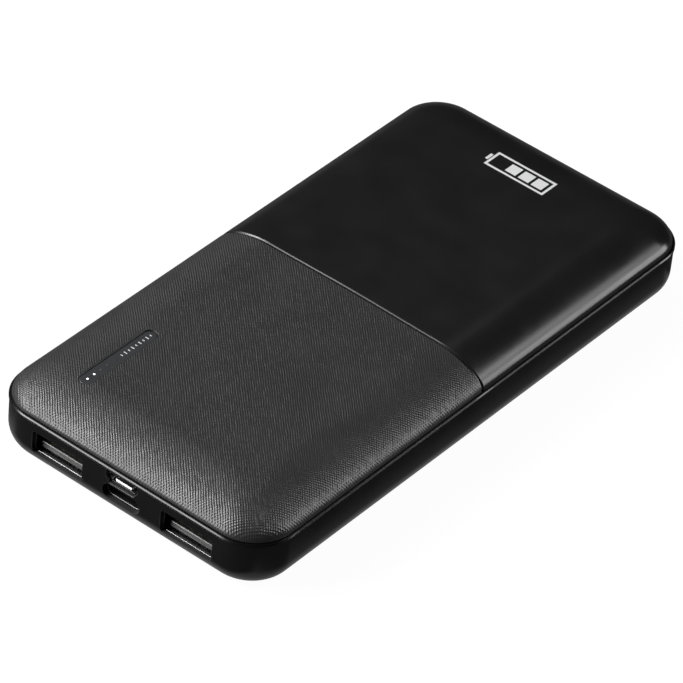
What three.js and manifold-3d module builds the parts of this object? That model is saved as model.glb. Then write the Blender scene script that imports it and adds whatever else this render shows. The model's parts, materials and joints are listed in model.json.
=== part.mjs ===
// A slim power bank: a two-part case, a port board at its front end, an indicator, a side key and two cells.
//
// Units are millimetres and +Z is up. The origin is the centre of the face the case rests on.
// X runs across the case, Y runs along it, and the ports are in the -Y end.

import * as THREE from 'three';
import { mergeVertices } from 'three/addons/utils/BufferGeometryUtils.js';
import Module from 'manifold-3d';

const wasm = await Module();
wasm.setup();

// ---------------------------------------------------------------------------------------------
// Driving dimensions
// ---------------------------------------------------------------------------------------------

// Case, outside
const CASE_WIDTH = 68;
const CASE_LENGTH = 136.2;
const CASE_HEIGHT = 18;
const CORNER_RADIUS = 9.6;
const INNER_CORNER_RADIUS = 4.5;
const CORNER_SHARE = 0.8;
const FOOT_RADIUS = 5.8;
const RIM_TOP = 12.15;
const RIM_HEIGHT = 0.8;
const RIM_OVERHANG = 0.15;
const RIM_ROUND = 0.2;

// Case, walls
const WALL = 2;
const FLOOR = 1.8;
const CAVITY_INSET = RIM_OVERHANG + WALL;
const CAVITY_FOOT_RADIUS = FOOT_RADIUS - WALL;

// Cover
const COVER_INSET = 0.58;
const COVER_GAP = 0.12;
const COVER_WALL = 1.65;
const CROWN = 0.25;
const CROWN_SHARES = [0.35, 0.7, 1];
const CROWN_END = 1;
const SHOULDER_RUN = 11.8;
const SHOULDER_POWER = 1.8;
const LIP_GAP = 0.15;
const LIP_THICKNESS = 1;
const LIP_BOTTOM = 10.4;
const SEAM_Y = -0.12;
const SEAM_WIDTH = 0.5;
const SEAM_DEPTH = 0.35;
const COVER_BOTTOM = RIM_TOP + COVER_GAP;
const LIP_ROOT = RIM_TOP + 0.5;

// Stretches of the lip left out above the ports and beside the key
const PORT_GAP = { x: [-24, 24], y: [-CASE_LENGTH, -60] };
const KEY_GAP = { x: [-CASE_WIDTH, -24], margin: 1 };

// Snap hooks on the cover's lip, and their pockets in the tray
const HOOK_LENGTH = 6;
const HOOK_REACH = 0.35;
const HOOK_Z = [10.65, 11.25];
const HOOK_CLEARANCE = 0.25;
const HOOK_POCKET_DEPTH = HOOK_REACH + 0.2;
const SIDE_HOOK_Y = [-22, 15, 50];
const REAR_HOOK_X = [-15, 15];

// Boards
const BOARD_THICKNESS = 0.8;
const BOARD_TOP = 8.6;
const BOARD_BOTTOM = BOARD_TOP - BOARD_THICKNESS;
const BOARD_HALF_WIDTH = 29;
const BOARD_FRONT = -65.6;
const BOARD_REAR = -42;
const BOARD_CORNER = 6;

// Ports
const USB_A_X = [-16.2, 16.2];
const USB_A = { width: 13.1, height: 5.7, radius: 0.5, sheet: 0.3, front: -66.8, length: 13.8, z: 6.95 };
const USB_A_WINDOW = { width: 12.6, height: 5.2, radius: 0.6, lip: 0.15 };
const USB_A_TONGUE = { width: 11.1, bottom: 4.8, top: 6.3, front: -65.85, back: -56 };
const USB_A_CONTACT_X = [-3.5, -1, 1, 3.5];
const USB_A_CONTACT = { width: 1, thickness: 0.25, front: -64.8, back: -56, lift: 0.55 };
const CONTACT_HUMP = { crest: 0.3, fall: 0.25, flat: 0.3, bend: 0.1 };
const USB_C = { width: 8.94, height: 3.26, radius: 1.6, sheet: 0.3, front: -66.7, length: 7.3 };
const USB_C_Z = BOARD_BOTTOM - USB_C.height / 2;
const USB_C_TONGUE = { width: 6.7, height: 0.7, front: -66.1, back: -60.6 };
const MICRO = { width: 7.5, narrow: 5.9, height: 2.45, bevel: 1.3, sheet: 0.25, front: -67.3, length: 5.9 };
const MICRO_TONGUE = { width: 4.1, bottom: 8.95, top: 9.55, front: -67.2, back: -62.2 };
const WINDOW_CLEARANCE = 0.15;
const WINDOW_REACH = CAVITY_INSET + 1.5;
const NOTCH_CLEARANCE = 0.3;
const CONNECTOR_FIT = 0.05;

// Screws that hold the board, and the bosses they bite into
const SCREW_PLACES = [[-26, -62], [26, -62], [-26, -44.5], [26, -44.5]];
const SCREW = { radius: 0.85, length: 5, headRadius: 1.8, headHeight: 1.2 };
const SCREW_SLOT = { width: 0.5, depth: 0.6, share: 0.65 };
const SCREW_HOLE_RADIUS = 1.1;
const BOSS_RADIUS = 2.4;
const PILOT_RADIUS = 0.95;
const PILOT_BOTTOM = 3;

// Indicator
const PILL_X = -19.3;
const PILL_Y = [-58.1, -36.8];
const PILL_WIDTH = 3.1;
const LENS_CLEARANCE = 0.06;
const LENS_TOP = CASE_HEIGHT - 0.5;
const LENS_FLANGE = { overlap: 0.8, bottom: 15.1, top: 15.6 };
const LED_Y = [-56.4, -54.47, -52.54, -50.61];
const LED_SIZE = { x: 1.6, y: 0.8, z: 0.6, corner: 0.15 };
const LED_BOARD = { halfWidth: 4.5, y: [-59, -38.5], top: 14.4 };
const BAFFLE = { halfWidth: 2, y: [-57.6, -49.4], top: LENS_FLANGE.bottom, holeX: 2.2, holeY: 1.3 };
const HEADER = { y: -46, length: 8, width: 2 };

// Side key and the switch behind it
const KEY = { y: -52, z: 9.3, length: 8.6, height: 2.5, face: -33.96, back: -31.05 };
const KEY_FLANGE = { length: 11, height: 3.9, thickness: 0.5, corner: 1 };
const KEY_CLEARANCE = 0.2;
const KEY_TRAVEL = 0.4;
const SWITCH = { length: 6, height: 1.8, x: [-29.2, -25.8], plateThickness: 0.2, plateInset: 0.3 };
const PLUNGER = { length: 2.6, height: 1, corner: 0.2, tip: KEY.back + 0.05, back: SWITCH.x[0] + 1 };
const PLUNGER_CLEARANCE = 0.1;

// Cells
const CELL = { width: 57, y: [-35.5, 61.5], thickness: 6.2, corner: 4.5, bevel: 0.8 };
const TAPE_THICKNESS = 0.2;
const LOWER_CELL_Z = FLOOR + TAPE_THICKNESS;
const UPPER_CELL_Z = LOWER_CELL_Z + CELL.thickness + TAPE_THICKNESS;
const TERRACE = { width: 53, thickness: 1.2, length: 2.8 };
const TAB = { x: 12, width: 6, thickness: 0.2, foot: 1.8 };
const PACK_BOARD = { halfWidth: 20, y: [-40.6, -39.8], z: [3.6, 13.4] };
const PROTECTION_CHIP = { halfWidth: 2.6, depth: 0.9, z: [4.4, 6.8] };
const TAPE = { halfWidth: 20, y: [-26, 54] };
const FOAM = { halfWidth: 18, y: [-24, 52], top: 15.9 };
const LEAD = { x: { positive: 11, negative: -8 }, radius: 0.7, z: 11.5, reachY: -43, bendZ: 11 };

// Parts on the port board: where the middle of each stands, and its size
const INDUCTOR = { at: [4, -48.6], side: 10, corner: 1.5, base: 1, radius: 4.7, top: 4 };
const CAPACITOR_PLACES = [[13.2, -47.9], [20.4, -47.9]];
const CAPACITOR_BASE = { side: 6.3, corner: 0.8, height: 0.6 };
const CAN_PROFILE = [[0, 0], [2.7, 0], [2.7, 0.4], [3, 0.8], [3, 4.6], [2.7, 4.9], [0, 4.9]];
const CHIP_CORNER = 0.3;
const CHIPS = {
  boost_controller: { at: [-5, -48], size: [5, 5], height: 0.9 },
  power_mosfet: { at: [-11.5, -48], size: [5, 6], height: 1 },
  charge_controller: { at: [-2.5, -56], size: [4, 4], height: 0.9 },
  sense_resistor: { at: [4.5, -57], size: [3.2, 1.6], height: 0.6 },
};

// How far a cutting shape runs past what it cuts, how far joined shapes run into each other, and what
// keeps a half-round end just short of a full half circle
const PAST = 1;
const LAP = 0.1;
const HAIR = 0.01;

// Fineness of round stretches
const CORNER_STEPS = 6;
const PROFILE_STEPS = 7;
const ROUND_SEGMENTS = 24;
const SMALL_STEPS = 4;
const BEVEL_STEPS = 2;
const LEAD_STEPS = 10;
const WIRE_STEPS = 5;

// ---------------------------------------------------------------------------------------------
// Materials
// ---------------------------------------------------------------------------------------------

const finish = (color, roughness, metalness = 0) => ({ color, roughness, metalness });
const FINISHES = {
  caseBlack: finish(0x141416, 0.42),
  coverBlack: finish(0x1c1c1e, 0.5),
  smokedLens: finish(0x202226, 0.15),
  blackPlastic: finish(0x101010, 0.6),
  whitePlastic: finish(0xe8e8e4, 0.5),
  greyPlastic: finish(0xb4b4b0, 0.5),
  ledBody: finish(0xf6f6ec, 0.3),
  boardGreen: finish(0x1b4a2c, 0.45),
  steel: finish(0xb9bbbd, 0.3, 1),
  gold: finish(0xc9a55a, 0.3, 1),
  ferrite: finish(0x3a3a3c, 0.7),
  foil: finish(0xb8bcc0, 0.4, 1),
  nickel: finish(0xa9a89f, 0.35, 1),
  foam: finish(0x2c2c2e, 0.95),
  tape: finish(0xd8d2b8, 0.6),
  redWire: finish(0xa81c18, 0.5),
  blackWire: finish(0x161616, 0.5),
};

// ---------------------------------------------------------------------------------------------
// Booleans
// ---------------------------------------------------------------------------------------------

/** A closed geometry as a manifold solid. */
function toSolid(geometry) {
  const bare = geometry.clone();
  bare.deleteAttribute('normal');
  bare.deleteAttribute('uv');
  const merged = mergeVertices(bare);
  return new wasm.Manifold(new wasm.Mesh({
    numProp: 3,
    vertProperties: new Float32Array(merged.attributes.position.array),
    triVerts: new Uint32Array(merged.index.array),
  }));
}

/** A manifold solid as a geometry. */
function toGeometry(solid) {
  const mesh = solid.getMesh();
  const geometry = new THREE.BufferGeometry();
  geometry.setAttribute('position', new THREE.BufferAttribute(new Float32Array(mesh.vertProperties), 3));
  geometry.setIndex(new THREE.BufferAttribute(new Uint32Array(mesh.triVerts), 1));
  return geometry;
}

/** All the given geometries as one. */
function join(...geometries) {
  return toGeometry(geometries.map(toSolid).reduce((sum, solid) => sum.add(solid)));
}

/** The first geometry with the others cut out of it. */
function cut(base, ...tools) {
  return toGeometry(tools.map(toSolid).reduce((rest, solid) => rest.subtract(solid), toSolid(base)));
}

// ---------------------------------------------------------------------------------------------
// Shapes
// ---------------------------------------------------------------------------------------------

/** A box between two x, two y and two z values. */
function spanBox([x0, x1], [y0, y1], [z0, z1]) {
  const box = new THREE.BoxGeometry(x1 - x0, y1 - y0, z1 - z0);
  return box.translate((x0 + x1) / 2, (y0 + y1) / 2, (z0 + z1) / 2);
}

/** The two values at a given distance on either side of a middle one. */
function around(middle, half) {
  return [middle - half, middle + half];
}

/** A rounded rectangle about a centre. */
function roundedRect(width, height, radius, centreX = 0, centreY = 0) {
  const [left, right] = around(centreX, width / 2);
  const [bottom, top] = around(centreY, height / 2);
  const shape = new THREE.Shape();
  shape.moveTo(left + radius, bottom);
  shape.lineTo(right - radius, bottom);
  shape.absarc(right - radius, bottom + radius, radius, -Math.PI / 2, 0);
  shape.lineTo(right, top - radius);
  shape.absarc(right - radius, top - radius, radius, 0, Math.PI / 2);
  shape.lineTo(left + radius, top);
  shape.absarc(left + radius, top - radius, radius, Math.PI / 2, Math.PI);
  shape.lineTo(left, bottom + radius);
  shape.absarc(left + radius, bottom + radius, radius, Math.PI, Math.PI * 1.5);
  return shape;
}

/** A closed polygon through the given [x, y] points. */
function polygon(points) {
  return new THREE.Shape(points.map(([x, y]) => new THREE.Vector2(x, y)));
}

/** A flat shape drawn in X and Y, as a plate between two heights. */
function plate(shape, [z0, z1]) {
  const options = { depth: z1 - z0, bevelEnabled: false, curveSegments: SMALL_STEPS };
  return new THREE.ExtrudeGeometry(shape, options).translate(0, 0, z0);
}

/** A flat shape drawn in X and Z, as a bar between two y values. */
function barAlongY(shape, [y0, y1]) {
  const options = { depth: y1 - y0, bevelEnabled: false, curveSegments: SMALL_STEPS };
  return new THREE.ExtrudeGeometry(shape, options).rotateX(Math.PI / 2).translate(0, y1, 0);
}

/** A flat shape drawn in Y and Z, as a bar between two x values. */
function barAlongX(shape, [x0, x1]) {
  const options = { depth: x1 - x0, bevelEnabled: false, curveSegments: SMALL_STEPS };
  const turn = new THREE.Matrix4().makeBasis(
    new THREE.Vector3(0, 1, 0),
    new THREE.Vector3(0, 0, 1),
    new THREE.Vector3(1, 0, 0),
  );
  return new THREE.ExtrudeGeometry(shape, options).applyMatrix4(turn).translate(x0, 0, 0);
}

/** An upright round bar. */
function post(radius, [z0, z1], [x, y]) {
  const cylinder = new THREE.CylinderGeometry(radius, radius, z1 - z0, ROUND_SEGMENTS);
  return cylinder.rotateX(Math.PI / 2).translate(x, y, (z0 + z1) / 2);
}

/** The corner radius of an outline drawn in by an inset. It shrinks at first one for one, then levels out. */
function cornerRadius(inset) {
  const spread = CORNER_RADIUS - INNER_CORNER_RADIUS;
  const soft = INNER_CORNER_RADIUS + spread * Math.exp(-inset / spread);
  return Math.min(soft, (CASE_WIDTH / 2 - inset) * CORNER_SHARE);
}

/** The case's plan outline, drawn in from its widest outline by an inset, as an anticlockwise loop. */
function caseLoop(inset) {
  const radius = cornerRadius(inset);
  const centreX = CASE_WIDTH / 2 - inset - radius;
  const centreY = CASE_LENGTH / 2 - inset - radius;
  const loop = [];
  [[1, 1], [-1, 1], [-1, -1], [1, -1]].forEach(([signX, signY], corner) => {
    for (let step = 0; step <= CORNER_STEPS; step += 1) {
      const angle = (corner + step / CORNER_STEPS) * Math.PI / 2;
      loop.push([signX * centreX + radius * Math.cos(angle), signY * centreY + radius * Math.sin(angle)]);
    }
  });
  return loop;
}

/** A solid skinned over case outlines, each given by its inset and its height, from the lowest up. */
function loft(levels) {
  const loops = levels.map(({ inset, z }) => caseLoop(inset).map(([x, y]) => [x, y, z]));
  const around360 = loops[0].length;
  const points = loops.flat();
  const bottomCentre = points.push([0, 0, levels[0].z]) - 1;
  const topCentre = points.push([0, 0, levels.at(-1).z]) - 1;
  const topStart = (loops.length - 1) * around360;
  const index = [];
  for (let side = 0; side < around360; side += 1) {
    const next = (side + 1) % around360;
    index.push(bottomCentre, next, side);
    index.push(topCentre, topStart + side, topStart + next);
    for (let start = 0; start < topStart; start += around360) {
      const above = start + around360;
      index.push(start + side, start + next, above + next);
      index.push(start + side, above + next, above + side);
    }
  }
  const geometry = new THREE.BufferGeometry();
  geometry.setAttribute('position', new THREE.Float32BufferAttribute(points.flat(), 3));
  geometry.setIndex(index);
  return geometry;
}

/** A quarter round from a flat bottom up into a wall. */
function footLevels(wallInset, bottom, radius) {
  return Array.from({ length: PROFILE_STEPS }, (_, step) => {
    const angle = (step / (PROFILE_STEPS - 1)) * Math.PI / 2;
    return { inset: wallInset + radius * (1 - Math.sin(angle)), z: bottom + radius * (1 - Math.cos(angle)) };
  });
}

/** The soft shoulder of the cover, from a wall in to a flat top. */
function shoulderLevels(wallInset, bottom, run, rise) {
  return Array.from({ length: PROFILE_STEPS + 1 }, (_, step) => {
    const angle = (step / PROFILE_STEPS) * Math.PI / 2;
    return {
      inset: wallInset + run * (1 - Math.cos(angle) ** (2 / SHOULDER_POWER)),
      z: bottom + rise * Math.sin(angle) ** (2 / SHOULDER_POWER),
    };
  });
}

/** The slight crown of the cover, from the end of its shoulder to its middle. */
function crownLevels(startInset, startZ) {
  const span = CASE_WIDTH / 2 - CROWN_END - startInset;
  return CROWN_SHARES.map((share) => ({
    inset: startInset + span * share,
    z: startZ + CROWN * Math.sin(share * Math.PI / 2) ** 2,
  }));
}

// ---------------------------------------------------------------------------------------------
// Case
// ---------------------------------------------------------------------------------------------

/** A USB-A opening: a mouth as wide as the shell's inside, and a pocket behind it for the shell. */
function usbAOpening(x) {
  const { width, height, radius, lip } = USB_A_WINDOW;
  const mouth = roundedRect(width, height, radius, x, USB_A.z);
  const pocketWidth = USB_A.width + 2 * WINDOW_CLEARANCE;
  const pocketHeight = USB_A.height + 2 * WINDOW_CLEARANCE;
  const pocket = roundedRect(pocketWidth, pocketHeight, USB_A.radius, x, USB_A.z);
  const inside = -CASE_LENGTH / 2 + WINDOW_REACH;
  return join(
    barAlongY(mouth, [-CASE_LENGTH / 2 - PAST, inside]),
    barAlongY(pocket, [USB_A.front - lip, inside]),
  );
}

/** The oval port's outline, grown or shrunk by an offset. */
function usbCOutline(offset) {
  const radius = Math.min(USB_C.radius + offset, USB_C.height / 2 + offset - HAIR);
  return roundedRect(USB_C.width + 2 * offset, USB_C.height + 2 * offset, radius, 0, USB_C_Z);
}

/** The small trapezoid port's outline, grown or shrunk by an offset. */
function microOutline(offset) {
  const top = BOARD_TOP + MICRO.height + offset;
  const bottom = BOARD_TOP - offset;
  const knee = BOARD_TOP + MICRO.bevel;
  const wide = MICRO.width / 2 + offset;
  const narrow = MICRO.narrow / 2 + offset;
  const leftSide = [[-wide, top], [-wide, knee], [-narrow, bottom]];
  const rightSide = [[narrow, bottom], [wide, knee], [wide, top]];
  return polygon([...leftSide, ...rightSide]);
}

function portWindows() {
  const throughWall = [-CASE_LENGTH / 2 - PAST, -CASE_LENGTH / 2 + WINDOW_REACH];
  const smallWindows = [usbCOutline(WINDOW_CLEARANCE), microOutline(WINDOW_CLEARANCE)];
  return [...USB_A_X.map(usbAOpening), ...smallWindows.map((outline) => barAlongY(outline, throughWall))];
}

const keyOutline = (offset) => roundedRect(
  KEY.length + 2 * offset,
  KEY.height + 2 * offset,
  KEY.height / 2 + offset - HAIR,
  KEY.y,
  KEY.z,
);

/** A block for each snap hook, standing out from the lip and grown by a clearance. */
function hookBlocks(reach, clearance) {
  const z = [HOOK_Z[0] - clearance, HOOK_Z[1] + clearance];
  const half = HOOK_LENGTH / 2 + clearance;
  const root = CAVITY_INSET + LIP_GAP + LIP_THICKNESS / 2;
  const tip = CAVITY_INSET + LIP_GAP - reach;
  const blocks = [];
  for (const y of SIDE_HOOK_Y) {
    blocks.push(spanBox([CASE_WIDTH / 2 - root, CASE_WIDTH / 2 - tip], around(y, half), z));
    blocks.push(spanBox([-CASE_WIDTH / 2 + tip, -CASE_WIDTH / 2 + root], around(y, half), z));
  }
  for (const x of REAR_HOOK_X) {
    blocks.push(spanBox(around(x, half), [CASE_LENGTH / 2 - root, CASE_LENGTH / 2 - tip], z));
  }
  return blocks;
}

function bottomTray() {
  const outside = loft([
    ...footLevels(RIM_OVERHANG, 0, FOOT_RADIUS),
    { inset: RIM_OVERHANG, z: RIM_TOP - RIM_HEIGHT },
    { inset: 0, z: RIM_TOP - RIM_HEIGHT + RIM_ROUND },
    { inset: 0, z: RIM_TOP - RIM_ROUND },
    { inset: RIM_ROUND, z: RIM_TOP },
  ]);
  const cavity = loft([
    ...footLevels(CAVITY_INSET, FLOOR, CAVITY_FOOT_RADIUS),
    { inset: CAVITY_INSET, z: RIM_TOP + PAST },
  ]);
  const bosses = SCREW_PLACES.map((place) => post(BOSS_RADIUS, [FLOOR / 2, BOARD_BOTTOM], place));
  const pilots = SCREW_PLACES.map((place) => post(PILOT_RADIUS, [PILOT_BOTTOM, BOARD_TOP], place));
  const keyHole = barAlongX(keyOutline(KEY_CLEARANCE), [-CASE_WIDTH / 2 - PAST, KEY.back]);
  const pockets = hookBlocks(HOOK_POCKET_DEPTH, HOOK_CLEARANCE);
  const shell = cut(outside, cavity, ...portWindows(), keyHole, ...pockets);
  return cut(join(shell, ...bosses), ...pilots);
}

/** The cover's outer skin, or a copy of it set in by a depth. */
function coverSkin(depth) {
  const rise = CASE_HEIGHT - CROWN - COVER_BOTTOM - depth;
  const shoulder = shoulderLevels(COVER_INSET + depth, COVER_BOTTOM, SHOULDER_RUN, rise);
  const last = shoulder.at(-1);
  return loft([...shoulder, ...crownLevels(last.inset, last.z)]);
}

function coverHollow() {
  const wallInset = CAVITY_INSET + LIP_GAP + LIP_THICKNESS;
  const run = COVER_INSET + SHOULDER_RUN - wallInset;
  return loft([
    { inset: wallInset, z: LIP_BOTTOM - PAST },
    ...shoulderLevels(wallInset, LIP_ROOT, run, CASE_HEIGHT - CROWN - COVER_WALL - LIP_ROOT),
  ]);
}

/** The groove that parts the cover's textured half from its smooth half. It leaves the lip whole. */
function seamGroove() {
  const z = [COVER_BOTTOM, CASE_HEIGHT + PAST];
  return cut(spanBox([-CASE_WIDTH, CASE_WIDTH], around(SEAM_Y, SEAM_WIDTH / 2), z), coverSkin(SEAM_DEPTH));
}

/** A slot with round ends, lying along Y above the indicator. */
function pillPlate(grow, z) {
  const length = PILL_Y[1] - PILL_Y[0] + 2 * grow;
  const width = PILL_WIDTH + 2 * grow;
  const middle = (PILL_Y[0] + PILL_Y[1]) / 2;
  return plate(roundedRect(width, length, width / 2 - HAIR, PILL_X, middle), z);
}

function topCover() {
  const lip = loft([
    { inset: CAVITY_INSET + LIP_GAP, z: LIP_BOTTOM },
    { inset: CAVITY_INSET + LIP_GAP, z: LIP_ROOT },
  ]);
  const portGap = spanBox(PORT_GAP.x, PORT_GAP.y, [0, COVER_BOTTOM]);
  const keyGap = spanBox(KEY_GAP.x, around(KEY.y, KEY_FLANGE.length / 2 + KEY_GAP.margin), [0, COVER_BOTTOM]);
  const hookedLip = cut(join(lip, ...hookBlocks(HOOK_REACH, 0)), portGap, keyGap);
  const pill = pillPlate(0, [FLOOR, CASE_HEIGHT + PAST]);
  return cut(join(coverSkin(0), hookedLip), coverHollow(), seamGroove(), pill);
}

// ---------------------------------------------------------------------------------------------
// Indicator
// ---------------------------------------------------------------------------------------------

function indicatorWindow() {
  const lens = pillPlate(-LENS_CLEARANCE, [LENS_FLANGE.top, LENS_TOP]);
  const flange = pillPlate(LENS_FLANGE.overlap, [LENS_FLANGE.bottom, LENS_FLANGE.top]);
  return join(lens, flange);
}

function lightBaffle() {
  const frame = spanBox(around(PILL_X, BAFFLE.halfWidth), BAFFLE.y, [LED_BOARD.top, BAFFLE.top]);
  const holes = LED_Y.map((y) => spanBox(
    around(PILL_X, BAFFLE.holeX / 2),
    around(y, BAFFLE.holeY / 2),
    [LED_BOARD.top - PAST, BAFFLE.top + PAST],
  ));
  return cut(frame, ...holes);
}

function ledBoard() {
  return spanBox(
    around(PILL_X, LED_BOARD.halfWidth),
    LED_BOARD.y,
    [LED_BOARD.top - BOARD_THICKNESS, LED_BOARD.top],
  );
}

function led(y) {
  const base = LED_BOARD.top;
  const body = roundedRect(LED_SIZE.x, LED_SIZE.y, LED_SIZE.corner, PILL_X, y);
  return plate(body, [base, base + LED_SIZE.z]);
}

function ledHeader() {
  return spanBox(
    around(PILL_X, HEADER.length / 2),
    around(HEADER.y, HEADER.width / 2),
    [BOARD_TOP, LED_BOARD.top - BOARD_THICKNESS],
  );
}

// ---------------------------------------------------------------------------------------------
// Port board
// ---------------------------------------------------------------------------------------------

function mainBoard() {
  const front = BOARD_FRONT;
  const half = BOARD_HALF_WIDTH;
  const outline = new THREE.Shape();
  outline.moveTo(half, BOARD_REAR);
  outline.lineTo(-half, BOARD_REAR);
  outline.lineTo(-half, front + BOARD_CORNER);
  outline.absarc(-half + BOARD_CORNER, front + BOARD_CORNER, BOARD_CORNER, Math.PI, Math.PI * 1.5);
  outline.lineTo(half - BOARD_CORNER, front);
  outline.absarc(half - BOARD_CORNER, front + BOARD_CORNER, BOARD_CORNER, -Math.PI / 2, 0);
  const blank = plate(outline, [BOARD_BOTTOM, BOARD_TOP]);
  const notches = USB_A_X.map((x) => spanBox(
    around(x, USB_A.width / 2 + WINDOW_CLEARANCE),
    [front - PAST, USB_A.front + USB_A.length + NOTCH_CLEARANCE],
    [0, CASE_HEIGHT],
  ));
  const holes = SCREW_PLACES.map((place) => post(SCREW_HOLE_RADIUS, [0, CASE_HEIGHT], place));
  return cut(blank, ...notches, ...holes);
}

function boardScrew([x, y]) {
  const shank = post(SCREW.radius, [BOARD_TOP - SCREW.length, BOARD_TOP + LAP], [x, y]);
  const head = post(SCREW.headRadius, [BOARD_TOP, BOARD_TOP + SCREW.headHeight], [x, y]);
  const top = BOARD_TOP + SCREW.headHeight;
  const slotZ = [top - SCREW_SLOT.depth, top + PAST];
  const slotReach = SCREW.headRadius * SCREW_SLOT.share;
  const slots = [
    spanBox(around(x, slotReach), around(y, SCREW_SLOT.width / 2), slotZ),
    spanBox(around(x, SCREW_SLOT.width / 2), around(y, slotReach), slotZ),
  ];
  return cut(join(shank, head), ...slots);
}

function usbAOutline(x, offset) {
  const { width, height, radius, z } = USB_A;
  return roundedRect(width + 2 * offset, height + 2 * offset, Math.max(radius + offset, LAP), x, z);
}

function usbAShell(x) {
  const back = USB_A.front + USB_A.length;
  const tube = barAlongY(usbAOutline(x, 0), [USB_A.front, back]);
  return cut(tube, barAlongY(usbAOutline(x, -USB_A.sheet), [USB_A.front - PAST, back - USB_A.sheet]));
}

function usbATongue(x) {
  const { width, bottom, top, front, back } = USB_A_TONGUE;
  const tongue = spanBox(around(x, width / 2), [front, back + LAP], [bottom, top]);
  const inside = USB_A.front + USB_A.length - USB_A.sheet - CONNECTOR_FIT;
  const block = barAlongY(usbAOutline(x, -USB_A.sheet - CONNECTOR_FIT), [back, inside]);
  return join(tongue, block);
}

/** A spring contact: it lies on the tongue, and humps up where a plug's contact lands. */
function usbAContact(x) {
  const { width, thickness, front, back, lift } = USB_A_CONTACT;
  const low = USB_A_TONGUE.top;
  const { flat, bend } = CONTACT_HUMP;
  const crest = front + (back - front) * CONTACT_HUMP.crest;
  const spread = (back - front) * CONTACT_HUMP.fall;
  const profile = polygon([
    [front, low],
    [front, low + thickness],
    [crest - flat, low + lift + thickness],
    [crest + flat, low + lift + thickness],
    [crest + spread, low + thickness],
    [back, low + thickness],
    [back, low],
    [crest + spread - bend, low],
    [crest + flat - bend, low + lift],
    [crest - flat + bend, low + lift],
    [front + flat, low],
  ]);
  return barAlongX(profile, around(x, width / 2));
}

function usbCShell() {
  const tube = barAlongY(usbCOutline(0), [USB_C.front, USB_C.front + USB_C.length]);
  const throughTube = [USB_C.front - PAST, USB_C.front + USB_C.length + PAST];
  return cut(tube, barAlongY(usbCOutline(-USB_C.sheet), throughTube));
}

function usbCTongue() {
  const { width, height, front, back } = USB_C_TONGUE;
  const tongue = spanBox(around(0, width / 2), [front, back + LAP], around(USB_C_Z, height / 2));
  const block = barAlongY(usbCOutline(-USB_C.sheet - CONNECTOR_FIT), [back, USB_C.front + USB_C.length]);
  return join(tongue, block);
}

function microShell() {
  const tube = barAlongY(microOutline(0), [MICRO.front, MICRO.front + MICRO.length]);
  const throughTube = [MICRO.front - PAST, MICRO.front + MICRO.length + PAST];
  return cut(tube, barAlongY(microOutline(-MICRO.sheet), throughTube));
}

function microTongue() {
  const { width, bottom, top, front, back } = MICRO_TONGUE;
  const tongue = spanBox(around(0, width / 2), [front, back + LAP], [bottom, top]);
  const block = barAlongY(microOutline(-MICRO.sheet - CONNECTOR_FIT), [back, MICRO.front + MICRO.length]);
  return join(tongue, block);
}

/** A square part with rounded corners standing on the board. */
function chip({ at: [x, y], size: [width, length], height }) {
  return plate(roundedRect(width, length, CHIP_CORNER, x, y), [BOARD_TOP, BOARD_TOP + height]);
}

/** A wound inductor: a square base with a round potted body on it. */
function inductor() {
  const { at, side, corner, base, radius, top } = INDUCTOR;
  const seat = plate(roundedRect(side, side, corner, ...at), [BOARD_TOP, BOARD_TOP + base]);
  return join(seat, post(radius, [BOARD_TOP + base - LAP, BOARD_TOP + top], at));
}

/** A can capacitor: a square seat, a can with a groove, and a flat lid. */
function capacitor([x, y]) {
  const { side, corner, height } = CAPACITOR_BASE;
  const seat = plate(roundedRect(side, side, corner, x, y), [BOARD_TOP, BOARD_TOP + height]);
  const points = CAN_PROFILE.map(([radius, level]) => new THREE.Vector2(radius, level));
  const can = new THREE.LatheGeometry(points, ROUND_SEGMENTS).rotateX(Math.PI / 2);
  return join(seat, can.translate(x, y, BOARD_TOP + height - LAP));
}

// ---------------------------------------------------------------------------------------------
// Side key and its switch
// ---------------------------------------------------------------------------------------------

function sideKey() {
  const stem = barAlongX(keyOutline(0), [KEY.face, KEY.back - KEY_FLANGE.thickness / 2]);
  const { length, height, thickness, corner } = KEY_FLANGE;
  const flangeOutline = roundedRect(length, height, corner, KEY.y, KEY.z);
  const flange = barAlongX(flangeOutline, [KEY.back - thickness, KEY.back]);
  return join(stem, flange);
}

/** The outline of the switch's plunger, or of the pocket it slides in. */
function plungerOutline(offset) {
  const middleZ = BOARD_TOP + SWITCH.height / 2;
  const { length, height, corner } = PLUNGER;
  return roundedRect(length + 2 * offset, height + 2 * offset, corner, KEY.y, middleZ);
}

function switchBase() {
  const plateTop = BOARD_TOP + SWITCH.height - SWITCH.plateThickness;
  const body = spanBox(SWITCH.x, around(KEY.y, SWITCH.length / 2), [BOARD_TOP, plateTop]);
  const pocketBack = PLUNGER.back + KEY_TRAVEL + PLUNGER_CLEARANCE;
  return cut(body, barAlongX(plungerOutline(PLUNGER_CLEARANCE), [SWITCH.x[0] - PAST, pocketBack]));
}

function switchPlate() {
  const top = BOARD_TOP + SWITCH.height;
  const half = SWITCH.length / 2 - SWITCH.plateInset;
  return spanBox(SWITCH.x, around(KEY.y, half), [top - SWITCH.plateThickness, top]);
}

function switchPlunger() {
  return barAlongX(plungerOutline(0), [PLUNGER.tip, PLUNGER.back]);
}

// ---------------------------------------------------------------------------------------------
// Cells
// ---------------------------------------------------------------------------------------------

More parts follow.
